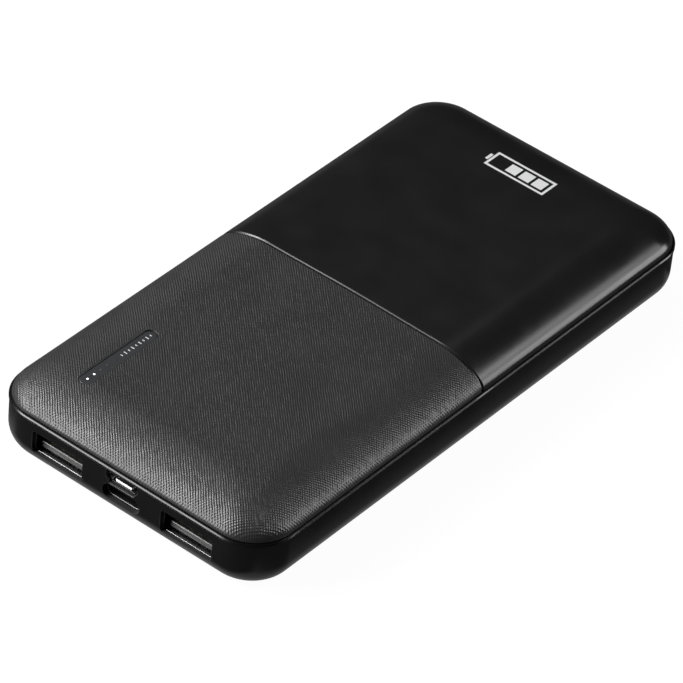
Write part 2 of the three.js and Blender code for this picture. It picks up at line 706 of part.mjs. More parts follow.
/** A pouch cell: a soft-edged slab with a thin sealed terrace at its front end. */
function pouchCell(bottom) {
  const { width, y, thickness, corner, bevel } = CELL;
  const middleY = (y[0] + y[1]) / 2;
  const flat = roundedRect(width - 2 * bevel, y[1] - y[0] - 2 * bevel, corner - bevel, 0, middleY);
  const slab = new THREE.ExtrudeGeometry(flat, {
    depth: thickness - 2 * bevel,
    bevelSize: bevel,
    bevelThickness: bevel,
    bevelSegments: BEVEL_STEPS,
    curveSegments: SMALL_STEPS,
  });
  slab.translate(0, 0, bottom + bevel);
  const terraceZ = around(bottom + thickness / 2, TERRACE.thickness / 2);
  const terrace = spanBox(around(0, TERRACE.width / 2), [y[0] - TERRACE.length, y[0] + PAST], terraceZ);
  return join(slab, terrace);
}

/** A cell tab: a strip from the terrace to the pack board, with a foot bent along the board. */
function cellTab(x, cellBottom) {
  const z = cellBottom + CELL.thickness / 2;
  const start = CELL.y[0] - TERRACE.length;
  const end = PACK_BOARD.y[1];
  const { thickness, foot } = TAB;
  const profile = polygon([
    [end, z - thickness / 2],
    [end, z + foot],
    [end + thickness, z + foot],
    [end + thickness, z + thickness / 2],
    [start, z + thickness / 2],
    [start, z - thickness / 2],
  ]);
  return barAlongX(profile, around(x, TAB.width / 2));
}

function packBoard() {
  return spanBox(around(0, PACK_BOARD.halfWidth), PACK_BOARD.y, PACK_BOARD.z);
}

/** The protection chip, on the pack board's front face below the main board. */
function protectionChip() {
  const { halfWidth, depth, z } = PROTECTION_CHIP;
  return spanBox(around(0, halfWidth), [PACK_BOARD.y[0] - depth, PACK_BOARD.y[0]], z);
}

function tapeStrip(bottom) {
  return spanBox(around(0, TAPE.halfWidth), TAPE.y, [bottom, bottom + TAPE_THICKNESS]);
}

function foamPad() {
  return spanBox(around(0, FOAM.halfWidth), FOAM.y, [UPPER_CELL_Z + CELL.thickness, FOAM.top]);
}

/** A lead from the pack board's front face, down onto the main board. */
function lead(x) {
  const path = new THREE.CubicBezierCurve3(
    new THREE.Vector3(x, PACK_BOARD.y[0], LEAD.z),
    new THREE.Vector3(x, LEAD.reachY, LEAD.z),
    new THREE.Vector3(x, LEAD.reachY, LEAD.bendZ),
    new THREE.Vector3(x, LEAD.reachY, BOARD_TOP),
  );
  const section = new THREE.Shape().absarc(0, 0, LEAD.radius, 0, Math.PI * 2);
  const options = { steps: LEAD_STEPS, curveSegments: WIRE_STEPS, extrudePath: path };
  return new THREE.ExtrudeGeometry(section, options);
}

// ---------------------------------------------------------------------------------------------
// Assembly
// ---------------------------------------------------------------------------------------------

const powerBank = new THREE.Group();

function addPiece(name, geometry, finishName) {
  const piece = new THREE.Mesh(geometry, new THREE.MeshStandardMaterial(FINISHES[finishName]));
  piece.name = name;
  powerBank.add(piece);
}

function addCase() {
  addPiece('bottom_tray', bottomTray(), 'caseBlack');
  addPiece('top_cover', topCover(), 'coverBlack');
}

function addIndicator() {
  addPiece('indicator_window', indicatorWindow(), 'smokedLens');
  addPiece('light_baffle', lightBaffle(), 'foam');
  addPiece('led_board', ledBoard(), 'boardGreen');
  addPiece('led_header', ledHeader(), 'blackPlastic');
  LED_Y.forEach((y, place) => addPiece(`led_${place + 1}`, led(y), 'ledBody'));
}

function addPorts() {
  ['left', 'right'].forEach((side, place) => {
    const x = USB_A_X[place];
    addPiece(`usb_a_${side}_shell`, usbAShell(x), 'steel');
    addPiece(`usb_a_${side}_tongue`, usbATongue(x), 'greyPlastic');
    USB_A_CONTACT_X.forEach((offset, pin) => {
      addPiece(`usb_a_${side}_contact_${pin + 1}`, usbAContact(x + offset), 'gold');
    });
  });
  addPiece('usb_c_shell', usbCShell(), 'steel');
  addPiece('usb_c_tongue', usbCTongue(), 'blackPlastic');
  addPiece('micro_usb_shell', microShell(), 'steel');
  addPiece('micro_usb_tongue', microTongue(), 'whitePlastic');
}

function addBoard() {
  addPiece('main_board', mainBoard(), 'boardGreen');
  SCREW_PLACES.forEach((place, count) => addPiece(`board_screw_${count + 1}`, boardScrew(place), 'steel'));
  addPiece('power_inductor', inductor(), 'ferrite');
  CAPACITOR_PLACES.forEach((place, count) => {
    addPiece(`output_capacitor_${count + 1}`, capacitor(place), 'foil');
  });
  Object.entries(CHIPS).forEach(([name, layout]) => addPiece(name, chip(layout), 'blackPlastic'));
}

function addKey() {
  addPiece('side_key', sideKey(), 'caseBlack');
  addPiece('switch_base', switchBase(), 'blackPlastic');
  addPiece('switch_plate', switchPlate(), 'steel');
  addPiece('switch_plunger', switchPlunger(), 'whitePlastic');
}

function addCells() {
  addPiece('lower_cell', pouchCell(LOWER_CELL_Z), 'foil');
  addPiece('upper_cell', pouchCell(UPPER_CELL_Z), 'foil');
  addPiece('lower_tab_positive', cellTab(TAB.x, LOWER_CELL_Z), 'nickel');
  addPiece('lower_tab_negative', cellTab(-TAB.x, LOWER_CELL_Z), 'nickel');
  addPiece('upper_tab_positive', cellTab(TAB.x, UPPER_CELL_Z), 'nickel');
  addPiece('upper_tab_negative', cellTab(-TAB.x, UPPER_CELL_Z), 'nickel');
  addPiece('pack_board', packBoard(), 'boardGreen');
  addPiece('protection_chip', protectionChip(), 'blackPlastic');
  addPiece('lead_positive', lead(LEAD.x.positive), 'redWire');
  addPiece('lead_negative', lead(LEAD.x.negative), 'blackWire');
  addPiece('cell_base_tape', tapeStrip(FLOOR), 'tape');
  addPiece('cell_middle_tape', tapeStrip(LOWER_CELL_Z + CELL.thickness), 'tape');
  addPiece('foam_pad', foamPad(), 'foam');
}

addCase();
addIndicator();
addPorts();
addBoard();
addKey();
addCells();

export default powerBank;
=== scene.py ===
"""The looks of a slim power bank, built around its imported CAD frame.

Sizes are in millimetres and are turned into metres where a mesh is made. X runs across the case, Y along it
with the ports in the -Y end, and +Z is up. The frame gives each part's place. What is set here is the shape
of rounded edges, seams and fine detail, the materials, the light and the camera.
"""

import json
import math

import bmesh
import bpy
from mathutils import Matrix, Vector


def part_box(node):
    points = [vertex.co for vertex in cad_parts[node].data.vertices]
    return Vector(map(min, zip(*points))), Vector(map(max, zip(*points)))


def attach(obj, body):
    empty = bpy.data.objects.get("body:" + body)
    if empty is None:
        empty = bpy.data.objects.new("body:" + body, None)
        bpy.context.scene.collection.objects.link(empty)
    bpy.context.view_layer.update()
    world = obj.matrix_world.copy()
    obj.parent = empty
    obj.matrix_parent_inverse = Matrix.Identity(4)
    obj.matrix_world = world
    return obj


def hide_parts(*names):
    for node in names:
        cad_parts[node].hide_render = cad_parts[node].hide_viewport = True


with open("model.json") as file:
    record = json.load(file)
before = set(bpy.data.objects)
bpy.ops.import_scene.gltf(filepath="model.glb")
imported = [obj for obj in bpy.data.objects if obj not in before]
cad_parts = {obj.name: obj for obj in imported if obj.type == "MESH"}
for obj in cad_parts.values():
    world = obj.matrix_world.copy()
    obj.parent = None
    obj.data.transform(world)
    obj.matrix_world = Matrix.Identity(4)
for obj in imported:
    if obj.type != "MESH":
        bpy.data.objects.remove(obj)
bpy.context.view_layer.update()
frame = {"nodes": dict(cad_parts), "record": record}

MM = 0.001
CASE_BODY = "case"
KEY_BODY = "side_key"


# ---- Sizes ----

def box_mm(node):
    """A CAD node's lowest and highest corners in millimetres."""
    low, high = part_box(node)
    return low / MM, high / MM


TRAY_HIGH = box_mm("bottom_tray")[1]
COVER_LOW, COVER_HIGH = box_mm("top_cover")

# Case outline and walls
HALF_X = TRAY_HIGH.x
HALF_Y = TRAY_HIGH.y
CORNER = 9.6
INNER_CORNER = 4.5
FOOT_RADIUS = 5.8
WALL = 2.0
FLOOR = 1.8

# Rim of the tray: it stands out past the wall, has a fine line scored round it, and its top edge is cut to
# a steep facet of (inset, drop)
RIM_TOP = TRAY_HIGH.z
RIM_BOTTOM = RIM_TOP - 0.8
RIM_OVERHANG = 0.15
RIM_SLANT = (0.13, 0.26)
RIM_SLANT_ROUND = 0.02
RIM_EASE = 0.1
RIM_LINE_BOTTOM = RIM_TOP - 0.66
RIM_LINE_DEPTH = 0.06
RIM_LINE_RISE = 0.12
RIM_LINE_ROOF = 0.02
CAVITY_INSET = RIM_OVERHANG + WALL
CAVITY_EDGE = 0.1

# Cover
COVER_TOP = COVER_HIGH.z
COVER_INSET = HALF_X - COVER_HIGH.x
COVER_BOTTOM = RIM_TOP + 0.12
COVER_WALL = 1.65
COVER_EDGE = 0.08
CROWN = 0.25
SHOULDER_RUN = 11.8
SHOULDER_POWER = 1.8
SHOULDER_TOP = COVER_TOP - CROWN
LIP_INSET = CAVITY_INSET + 0.15
LIP_THICKNESS = 1.0
LIP_BOTTOM = COVER_LOW.z
LIP_EDGE = 0.1
HOLLOW_INSET = LIP_INSET + LIP_THICKNESS
HOLLOW_KNEE = RIM_TOP + 0.5

# The seam between the cover's two halves: (distance along Y from its middle, depth)
SEAM_Y = -0.12
SEAM_PROFILE = [
    (-0.70, 0.0), (-0.65, 0.012), (-0.61, 0.05), (-0.58, 0.13), (-0.55, 0.21), (-0.50, 0.24), (-0.02, 0.24),
    (0.03, 0.20), (0.08, 0.14), (0.13, 0.08), (0.18, 0.03), (0.24, 0.008), (0.30, 0.0),
]
HATCH_EDGE_Y = SEAM_Y - 0.6

# Indicator recess, its window and its lights
LENS_LOW, LENS_HIGH = box_mm("indicator_window")
LENS_FLANGE = 0.8
PILL_X = (LENS_LOW.x + LENS_HIGH.x) / 2
PILL_Y = (LENS_LOW.y + LENS_HIGH.y) / 2
PILL_WIDTH = LENS_HIGH.x - LENS_LOW.x - 2 * LENS_FLANGE
PILL_LENGTH = LENS_HIGH.y - LENS_LOW.y - 2 * LENS_FLANGE
PILL_EDGE = 0.2
LENS_TOP = LENS_HIGH.z
LENS_CLEARANCE = 0.03
LENS_FLANGE_TOP = LENS_LOW.z + 0.5
LENS_EDGE = 0.12
LENS_FACE_INSET = 0.2
LENS_FACE_DIP = 0.02

# Domed light spots in the window, with a profile of (share of the radius, height over the window)
LIT_LIGHTS = 2
LIGHT_SPOT_RADIUS = 0.22
LIGHT_SPOT_PROFILE = [(1.0, -0.3), (1.0, 0.0), (0.94, 0.025), (0.75, 0.045), (0.45, 0.06), (0.12, 0.066)]

# Snap hooks
HOOK_LENGTH = 6.0
HOOK_Z = (10.65, 11.25)
HOOK_REACH = 0.35
HOOK_CLEARANCE = 0.25
HOOK_POCKET_DEPTH = 0.2
HOOK_EDGE = 0.1
SIDE_HOOK_Y = (-22.0, 15.0, 50.0)
REAR_HOOK_X = (-15.0, 15.0)

# Cuts: how far the openings run past the wall's inner face, and how far off a surface a cutter's edge starts
PORT_CUT_DEPTH = 1.5
KEY_CUT_DEPTH = 0.6
CUT_LIFT = 0.004

# Ports
WINDOW_CLEARANCE = 0.15
WINDOW_EDGE = 0.18
USB_A_RADIUS = 0.7
USB_A_MOUTH = (12.6, 5.2)
USB_A_MOUTH_RADIUS = 0.6
USB_A_LIP = 0.15
USB_A_SHEET = 0.3
USB_C_SHEET = 0.3
MICRO_SHEET = 0.25
MICRO_KNEE = 1.3
MICRO_TAPER = 0.8
MICRO_RADIUS = 0.35
CONNECTOR_FIT = 0.05
SHELL_EDGE = 0.18
SHEET_EDGE_SHARE = 0.45

# Tongues of the sockets. Each one runs a little way into the block behind its step.
TONGUE_RADIUS = 0.25
TONGUE_OVERLAP = 0.1
USB_A_TONGUE_WIDTH = 11.1
USB_A_TONGUE_BOTTOM = 4.8
USB_A_TONGUE_STEP = -56.0
USB_A_TONGUE_NOSE = 0.3
USB_C_TONGUE_SIZE = (6.7, 0.7)
USB_C_TONGUE_STEP = -60.6
USB_C_TONGUE_NOSE = 0.2
MICRO_TONGUE_WIDTH = 4.1
MICRO_TONGUE_Z = (8.95, 9.55)
MICRO_TONGUE_STEP = -62.2
MICRO_TONGUE_NOSE = 0.15
# Faces of a tongue whose normal's Z is over this take dark plastic: painted shade on its top inside the
# shell.
SHADED_TOP_FACING = 0.9

# Springs in the floor of each USB-A shell, and their slots. Spans run along Y from the shell's front.
SPRING_OFFSET = 2.65
SPRING_WIDTH = 1.9
SPRING_THICKNESS = 0.22
SPRING_GAP = 0.03
SPRING_LIFT = 0.5
SPRING_HUMP_SHARE = 0.8
SPRING_SPAN = (1.2, 6.8)
SPRING_STEPS = 14
SLOT_HALF_WIDTH = 1.2
SLOT_SPAN = (1.0, 6.6)

# Gaps in the cover's lip, over the ports and beside the key
PORT_GAP_HALF = 24.0
PORT_GAP_REAR = -60.0
KEY_GAP_MARGIN = 1.0

# Side key
KEY_SIZE = (8.6, 2.5)
KEY_CLEARANCE = 0.2
KEY_FLANGE_THICKNESS = 0.5
KEY_FLANGE_RADIUS = 1.0
KEY_EDGE = 0.35
KEY_FACE_INSET = 0.9
KEY_FACE_RISE = 0.03

# Print. The sign is a frame with a terminal to its left, between two reaches from it, and cells inside. The
# leftmost cell stays empty.
INK_THICKNESS = 0.012
INK_ROOT = 0.03
SIGN_CENTRE = (0.0, 53.5)
SIGN_SIZE = (15.0, 5.2)
SIGN_LINE = 0.55
SIGN_JOIN = 0.44
SIGN_TERMINAL_REACH = (0.88, 0.22)
SIGN_TERMINAL_HALF = 1.04
SIGN_CELLS = 4
SIGN_GAP = 0.66
MARK_COUNT = 9
MARK_HALF_LENGTHS = (0.26, 0.42)
MARK_WIDTH = 0.2
MARK_START_Y = -46.6
MARK_PITCH = 1.05

# Screws, and the bosses for them in the tray
SCREW_NODES = [f"board_screw_{count}" for count in range(1, 5)]
BOSS_RADIUS = 2.4
BOSS_EDGE = 0.15
PILOT_RADIUS = 0.95
PILOT_BOTTOM = 3.0

# Stage. The floor's half width and the softboxes' sizes are in metres, the other lengths in millimetres.
FLOOR_GLOW = 0.95
FLOOR_BOUNCE = 0.08
FLOOR_HALF = 6.0
FLOOR_GAP = 0.02
BESIDE_GLOW = 0.30
BESIDE_REACH = 6.0
BESIDE_END_REACH = 2.2
SOFTBOX_DISTANCE = 1.2
SOFTBOX_SIDE = 0.5
SOFTBOX_POWER = 4.0
CAMERA_AZIMUTH = math.radians(35.75)
CAMERA_ELEVATION = math.radians(39.25)
CAMERA_ROLL = math.radians(5.9)
CAMERA_DISTANCE = 1018.5
CAMERA_SHIFT = (-0.845, 3.858)
CAMERA_LENS = 271.45
CAMERA_SENSOR = 36.0

# Lights: name, azimuth, elevation, strength. A bright bank stands in front on the left, a weaker one behind
# on the right, and the low ones catch the rim.
LIGHTS = [
    ("front_softbox", 300, 34, 14.0),
    ("front_top_fill", 300, 54, 2.0),
    ("front_low_fill", 327, 8, 10.0),
    ("front_right_fill", 322, 26, 5.5),
    ("left_fill", 255, 35, 2.0),
    ("right_softbox", 125, 42, 4.0),
    ("right_fill", 132, 27, 2.2),
    ("right_low_fill", 138, 7, 4.5),
    ("top_fill", 215, 60, 0.5),
]

# Fineness
ARC_STEPS = 20
SIDE_STEPS = 24
END_STEPS = 22
SHOULDER_STEPS = 28
EDGE_STEPS = 6
CORNER_STEPS = 7
ROUND_STEPS = 14
FOOT_STEPS = 18
CAVITY_STEPS = 10
HOLLOW_STEPS = 12
CEILING_STEPS = 4
TOP_STEPS = 14
BASE_STEPS = 10
FLOOR_STEPS = 6
SPOT_SEGMENTS = 24
POST_SEGMENTS = 32


# ---- Meshes ----

def to_mesh(name, points, faces, materials):
    """A mesh from points in millimetres: doubles merged, faces out, and all but sharp edges smooth."""
    mesh = bpy.data.meshes.new(name)
    mesh.from_pydata([Vector(p) * MM for p in points], [], faces)
    for material in materials:
        mesh.materials.append(material)
    work = bmesh.new()
    work.from_mesh(mesh)
    bmesh.ops.remove_doubles(work, verts=work.verts, dist=0.002 * MM)
    bmesh.ops.dissolve_degenerate(work, edges=work.edges, dist=0.001 * MM)
    bmesh.ops.recalc_face_normals(work, faces=work.faces)
    work.to_mesh(mesh)
    work.free()
    smooth_edges(mesh)
    return mesh


def smooth_edges(mesh, sharp=40):
    mesh.shade_smooth()
    mesh.set_sharp_from_angle(angle=math.radians(sharp))


def add_object(name, data):
    thing = bpy.data.objects.new(name, data)
    bpy.context.scene.collection.objects.link(thing)
    return thing


def add_piece(name, mesh, body, replaced=()):
    """Adds a mesh as a piece that rides on a body and stands for the given CAD nodes."""
    piece = add_object(name, mesh)
    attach(piece, body)
    if replaced:
        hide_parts(*replaced)
    return piece


def solid_piece(name, part, look, replaced=(), body=CASE_BODY):
    """A piece of one material, made from a (points, faces) part."""
    mesh = to_mesh(name, *part, [MATERIALS[look]])
    return add_piece(name, mesh, body, replaced)


def add_tool(parts, material=None):
    """A closed mesh for a boolean, from one or more (points, faces) parts that don't touch."""
    points, faces = merge_parts(parts)
    return add_object("tool", to_mesh("tool", points, faces, [material] if material else []))


def apply_modifiers(piece):
    bpy.context.view_layer.update()
    graph = bpy.context.evaluated_depsgraph_get()
    result = bpy.data.meshes.new_from_object(piece.evaluated_get(graph))
    piece.modifiers.clear()
    piece.data = result


def combine(piece, tool, operation):
    """Joins a tool to a piece, or cuts it out, and removes the tool."""
    modifier = piece.modifiers.new("combine", "BOOLEAN")
    modifier.operation = operation
    modifier.solver = "EXACT"
    modifier.material_mode = "TRANSFER"
    modifier.object = tool
    apply_modifiers(piece)
    bpy.data.objects.remove(tool)


def settle_normals(piece):
    """Large faces keep their own normals, so that a cut-out doesn't dent the shading round it."""
    smooth_edges(piece.data)
    modifier = piece.modifiers.new("normals", "WEIGHTED_NORMAL")
    modifier.keep_sharp = True
    apply_modifiers(piece)


def skin(loops, closed=False, capped=True):
    """Points and faces over equal closed loops. A closed skin joins its last loop to its first."""
    count = len(loops[0])
    points = [p for loop in loops for p in loop]
    faces = []
    steps = len(loops) if closed else len(loops) - 1
    for row in range(steps):
        low = row * count
        high = ((row + 1) % len(loops)) * count
        for here in range(count):
            after = (here + 1) % count
            faces.append((low + here, low + after, high + after, high + here))
    if capped and not closed:
        faces.append(tuple(reversed(range(count))))
        faces.append(tuple(range((len(loops) - 1) * count, len(loops) * count)))
    return points, faces


def merge_parts(parts):
    """Several (points, faces) pairs as one."""
    points, faces = [], []
    for part_points, part_faces in parts:
        start = len(points)
        points.extend(part_points)
        faces.extend(tuple(start + i for i in face) for face in part_faces)
    return points, faces


def quarter(steps=EDGE_STEPS):
    """(1 - sine, 1 - cosine) along a quarter turn: the two insets of a rounded edge of radius 1."""
    angles = [math.pi / 2 * step / steps for step in range(steps + 1)]
    return [(1 - math.sin(a), 1 - math.cos(a)) for a in angles]


def rounded(corners, radius, grow=0.0, steps=CORNER_STEPS):
    """An anticlockwise polygon with round corners, grown outward by an amount."""
    outline = []
    for i, corner in enumerate(corners):
        here = Vector(corner)
        to_last = (Vector(corners[i - 1]) - here).normalized()
        to_next = (Vector(corners[(i + 1) % len(corners)]) - here).normalized()
        half = to_last.angle(to_next) / 2
        inward = (to_last + to_next).normalized()
        centre = here + inward * (radius / math.sin(half))
        middle = math.atan2(-inward.y, -inward.x)
        turn = math.pi - 2 * half
        for step in range(steps + 1):
            angle = middle + turn * (step / steps - 0.5)
            reach = radius + grow
            outline.append((centre.x + reach * math.cos(angle), centre.y + reach * math.sin(angle)))
    return outline


def rectangle(centre_a, centre_b, size_a, size_b):
    """The corners of a rectangle, anticlockwise."""
    a0, a1 = centre_a - size_a / 2, centre_a + size_a / 2
    b0, b1 = centre_b - size_b / 2, centre_b + size_b / 2
    return [(a0, b0), (a1, b0), (a1, b1), (a0, b1)]


def node_corners(node, axes, size=None):
    """A rectangle about a CAD node's middle in two axes, as large as the node or of a given size."""
    (a0, b0), (a1, b1) = [tuple(getattr(corner, axes)) for corner in box_mm(node)]
    return rectangle((a0 + a1) / 2, (b0 + b1) / 2, *(size or (a1 - a0, b1 - b0)))


def place(outline, axis, level):
    """A flat outline set across an axis at a level. The outline's two values are the other axes in order."""
    if axis == "x":
        return [(level, a, b) for a, b in outline]
    if axis == "y":
        return [(a, level, b) for a, b in outline]
    return [(a, b, level) for a, b in outline]


def bar(outline_at, low, high, edge=0.0):
    """An upright bar with rounded ends. outline_at gives the outline for an amount of growth."""
    rows = [(low, 0.0), (high, 0.0)]
    if edge:
        rows = [(low + edge * s, -edge * c) for s, c in reversed(quarter())]
        rows += [(high - edge * s, -edge * c) for s, c in quarter()]
    return skin([place(outline_at(grow), "z", level) for level, grow in rows])


def box_part(low, high, edge=0.0):
    """A box between two corners, with rounded upright edges and ends where an edge radius is given."""
    radius = max(edge, 0.001)
    centre_a, centre_b = (low[0] + high[0]) / 2, (low[1] + high[1]) / 2
    corners = rectangle(centre_a, centre_b, high[0] - low[0], high[1] - low[1])
    steps = 3 if edge else 1
    return bar(lambda grow: rounded(corners, radius, grow, steps), low[2], high[2], edge * 0.9)


def circle(x, y, radius, segments):
    angles = [2 * math.pi * i / segments for i in range(segments)]
    return [(x + radius * math.cos(a), y + radius * math.sin(a)) for a in angles]


def post_part(x, y, radius, low, high, edge=0.0):
    """An upright round bar."""
    return bar(lambda grow: circle(x, y, radius + grow, POST_SEGMENTS), low, high, edge)


# ---- Case outline ----

def corner_radius(inset):
    """The corner radius of an outline drawn in by an inset, as the CAD case has it."""
    spread = CORNER - INNER_CORNER
    soft = INNER_CORNER + spread * math.exp(-inset / spread)
    return min(soft, (HALF_X - inset) * 0.8)


def side_stations(half_length):
    """Places along a long side from -Y to +Y, each with the seam's depth there."""
    seam = [(SEAM_Y + along, depth) for along, depth in SEAM_PROFILE]
    start, end = seam[0][0], seam[-1][0]
    shares = [step / SIDE_STEPS for step in range(1, SIDE_STEPS)]
    before = [(-half_length + (start + half_length) * share, 0.0) for share in shares]
    after = [(end + (half_length - end) * share, 0.0) for share in shares]
    return before + seam + after


def case_ring(inset):
    """One closed outline of the case, anticlockwise: (x, y, outward x, outward y, seam depth)."""
    radius = corner_radius(inset)
    half_x, half_y = HALF_X - inset, HALF_Y - inset
    centre_x, centre_y = half_x - radius, half_y - radius
    stations = side_stations(centre_y)
    ring = []

    def add_corner(sign_x, sign_y, start):
        for step in range(ARC_STEPS + 1):
            angle = start + math.pi / 2 * step / ARC_STEPS
            out_x, out_y = math.cos(angle), math.sin(angle)
            x, y = sign_x * centre_x + radius * out_x, sign_y * centre_y + radius * out_y
            ring.append((x, y, out_x, out_y, 0.0))

    def add_end(side):
        for step in range(1, END_STEPS):
            ring.append((side * centre_x * (1 - 2 * step / END_STEPS), side * half_y, 0.0, side, 0.0))

    add_corner(1, -1, -math.pi / 2)
    ring.extend((half_x, y, 1.0, 0.0, depth) for y, depth in stations)
    add_corner(1, 1, 0.0)
    add_end(1)
    add_corner(-1, 1, math.pi / 2)
    ring.extend((-half_x, y, -1.0, 0.0, depth) for y, depth in reversed(stations))
    add_corner(-1, -1, math.pi)
    add_end(-1)
    return ring


def case_loops(rows, seam=False):
    """Loops over case outlines, from (inset, height) rows. With seam, they carry the crown and the groove."""
    loops = []
    for i, (inset, z) in enumerate(rows):
        last, after = rows[max(i - 1, 0)], rows[min(i + 1, len(rows) - 1)]
        run, rise = after[0] - last[0], after[1] - last[1]
        length = math.hypot(run, rise)
        sink_out, sink_up = (rise / length, run / length) if seam else (0.0, 0.0)
        crowned = seam and inset > COVER_INSET + SHOULDER_RUN
        loop = []
        for x, y, out_x, out_y, depth in case_ring(inset):
            level = z + crown(x, y) if crowned else z
            sunk = sink_out * depth
            loop.append((x - out_x * sunk, y - out_y * sunk, level - sink_up * depth))
        loops.append(loop)
    return loops


def shoulder(start_inset, bottom, run, rise, steps=SHOULDER_STEPS):
    """Insets and heights of the cover's soft shoulder."""
    rows = []
    for step in range(steps + 1):
        angle = math.pi / 2 * step / steps
        inset = start_inset + run * (1 - math.cos(angle) ** (2 / SHOULDER_POWER))
        rows.append((inset, bottom + rise * math.sin(angle) ** (2 / SHOULDER_POWER)))
    return rows


def to_middle(start_inset, z, steps):
    """Rows from an inset to the case's middle, all at one height."""
    span = HALF_X - 0.0005 - start_inset
    return [(start_inset + span * step / steps, z) for step in range(1, steps + 1)]


def crown(x, y):
    """How far the cover's slight crown stands over its shoulder."""
    rise = 1.0
    for inset in (HALF_X - abs(x), HALF_Y - abs(y)):
        share = (inset - COVER_INSET - SHOULDER_RUN) / (HALF_X - COVER_INSET - SHOULDER_RUN)
        rise *= math.sin(min(max(share, 0.0), 1.0) * math.pi / 2) ** 2
    return CROWN * rise


def cover_height(x, y):
    """The cover's height over a place that is away from its corners."""
    run = min(HALF_X - abs(x), HALF_Y - abs(y)) - COVER_INSET
    if run >= SHOULDER_RUN:
        return SHOULDER_TOP + crown(x, y)
    level = (1 - (1 - run / SHOULDER_RUN) ** SHOULDER_POWER) ** (1 / SHOULDER_POWER)
    return COVER_BOTTOM + (SHOULDER_TOP - COVER_BOTTOM) * level


# ---- Materials ----

class Shader:
    """A procedural material: a principled shader whose inputs are fed by small chains of nodes."""

    def __init__(self, name, color, roughness, metallic=0.0, ior=1.5):
        self.material = bpy.data.materials.new(name)
        self.material.use_nodes = True
        self.nodes = self.material.node_tree.nodes
        self.links = self.material.node_tree.links
        self.surface = self.nodes["Principled BSDF"]
        self.set("Base Color", (*color, 1.0))
        self.set("Roughness", roughness)
        self.set("Metallic", metallic)
        self.set("IOR", ior)
        self.position = self.add("TexCoord").outputs["Object"]

    def add(self, kind, **settings):
        node = self.nodes.new("ShaderNode" + kind)
        for key, value in settings.items():
            setattr(node, key, value)
        return node

    def feed(self, node, socket, value):
        """Sets a node's input to a value, or links it to another node's output."""
        if isinstance(value, bpy.types.NodeSocket):
            self.links.new(value, node.inputs[socket])
        else:
            node.inputs[socket].default_value = value

    def set(self, socket, value):
        self.feed(self.surface, socket, value)

    def math(self, operation, *values):
        node = self.add("Math", operation=operation)
        for i, value in enumerate(values):
            self.feed(node, i, value)
        return node.outputs[0]

    def vector(self, operation, *values, scale=None):
        node = self.add("VectorMath", operation=operation)
        for i, value in enumerate(values):
            self.feed(node, i, value)
        if scale is not None:
            self.feed(node, "Scale", scale)
        return node.outputs["Value" if operation == "DOT_PRODUCT" else "Vector"]

    def noise(self, size, detail=3.0, stretch=(1, 1, 1)):
        """Smooth noise from 0 to 1, with features about as large as a size in millimetres."""
        scale = [1.0 / (size * MM * s) for s in stretch]
        return self.noise_at(self.vector("MULTIPLY", self.position, scale), detail)

    def noise_at(self, place_in, detail):
        node = self.add("TexNoise")
        self.feed(node, "Vector", place_in)
        self.feed(node, "Scale", 1.0)
        self.feed(node, "Detail", detail)
        return node.outputs[0]

    def streaks(self, across, width, length):
        """Noise drawn out square to a direction in the XY plane, with a width and a length in millimetres."""
        along = Vector((-across.y, across.x, 0.0))
        place_in = self.add("CombineXYZ")
        self.feed(place_in, 0, self.vector("DOT_PRODUCT", self.position, across / (width * MM)))
        self.feed(place_in, 1, self.vector("DOT_PRODUCT", self.position, along / (length * MM)))
        return self.noise_at(place_in.outputs[0], 2.0)

    def span(self, value, low, high, start=0.3, end=0.7):
        """A value mapped from one range to another."""
        node = self.add("MapRange")
        sockets = ("Value", "From Min", "From Max", "To Min", "To Max")
        for socket, amount in zip(sockets, (value, start, end, low, high)):
            self.feed(node, socket, amount)
        return node.outputs[0]

    def tint(self, factor, first, second):
        node = self.add("Mix", data_type="RGBA")
        self.feed(node, 0, factor)
        self.feed(node, 6, (*first, 1.0))
        self.feed(node, 7, (*second, 1.0))
        return node.outputs[2]

    def bump(self, height, depth, normal=None):
        """Bumps the surface by a height from 0 to 1 times a depth in millimetres."""
        node = self.add("Bump")
        self.feed(node, "Strength", 1.0)
        self.feed(node, "Distance", depth * MM)
        self.feed(node, "Height", height)
        if normal is not None:
            self.feed(node, "Normal", normal)
        self.set("Normal", node.outputs[0])

    def vary(self, color, other, low, high, size):
        """Lets the colour and the roughness wander a little across the surface."""
        cloud = self.noise(size)
        self.set("Base Color", self.tint(cloud, color, other))
        self.set("Roughness", self.span(cloud, low, high))


def surface(name, color, other, sheen, patch, grain, depth, detail=2.0, stretch=(1, 1, 1), **base):
    """A surface whose colour and roughness wander in patches, under a fine grain, sized in millimetres."""
    shader = Shader(name, color, sheen[0], **base)
    shader.vary(color, other, *sheen, patch)
    shader.bump(shader.noise(grain, detail, stretch), depth)
    return shader.material


def scaled(color, share):
    return tuple(channel * share for channel in color)


def moulded_plastic(name, color, roughness):
    """Satin moulded plastic: a fine spark-eroded grain, and slight handling marks in its sheen."""
    lighter = tuple(channel * 1.25 + 0.001 for channel in color)
    sheen = (roughness - 0.03, roughness + 0.04)
    return surface(name, color, lighter, sheen, patch=9.0, grain=0.18, depth=0.0022, ior=1.48)


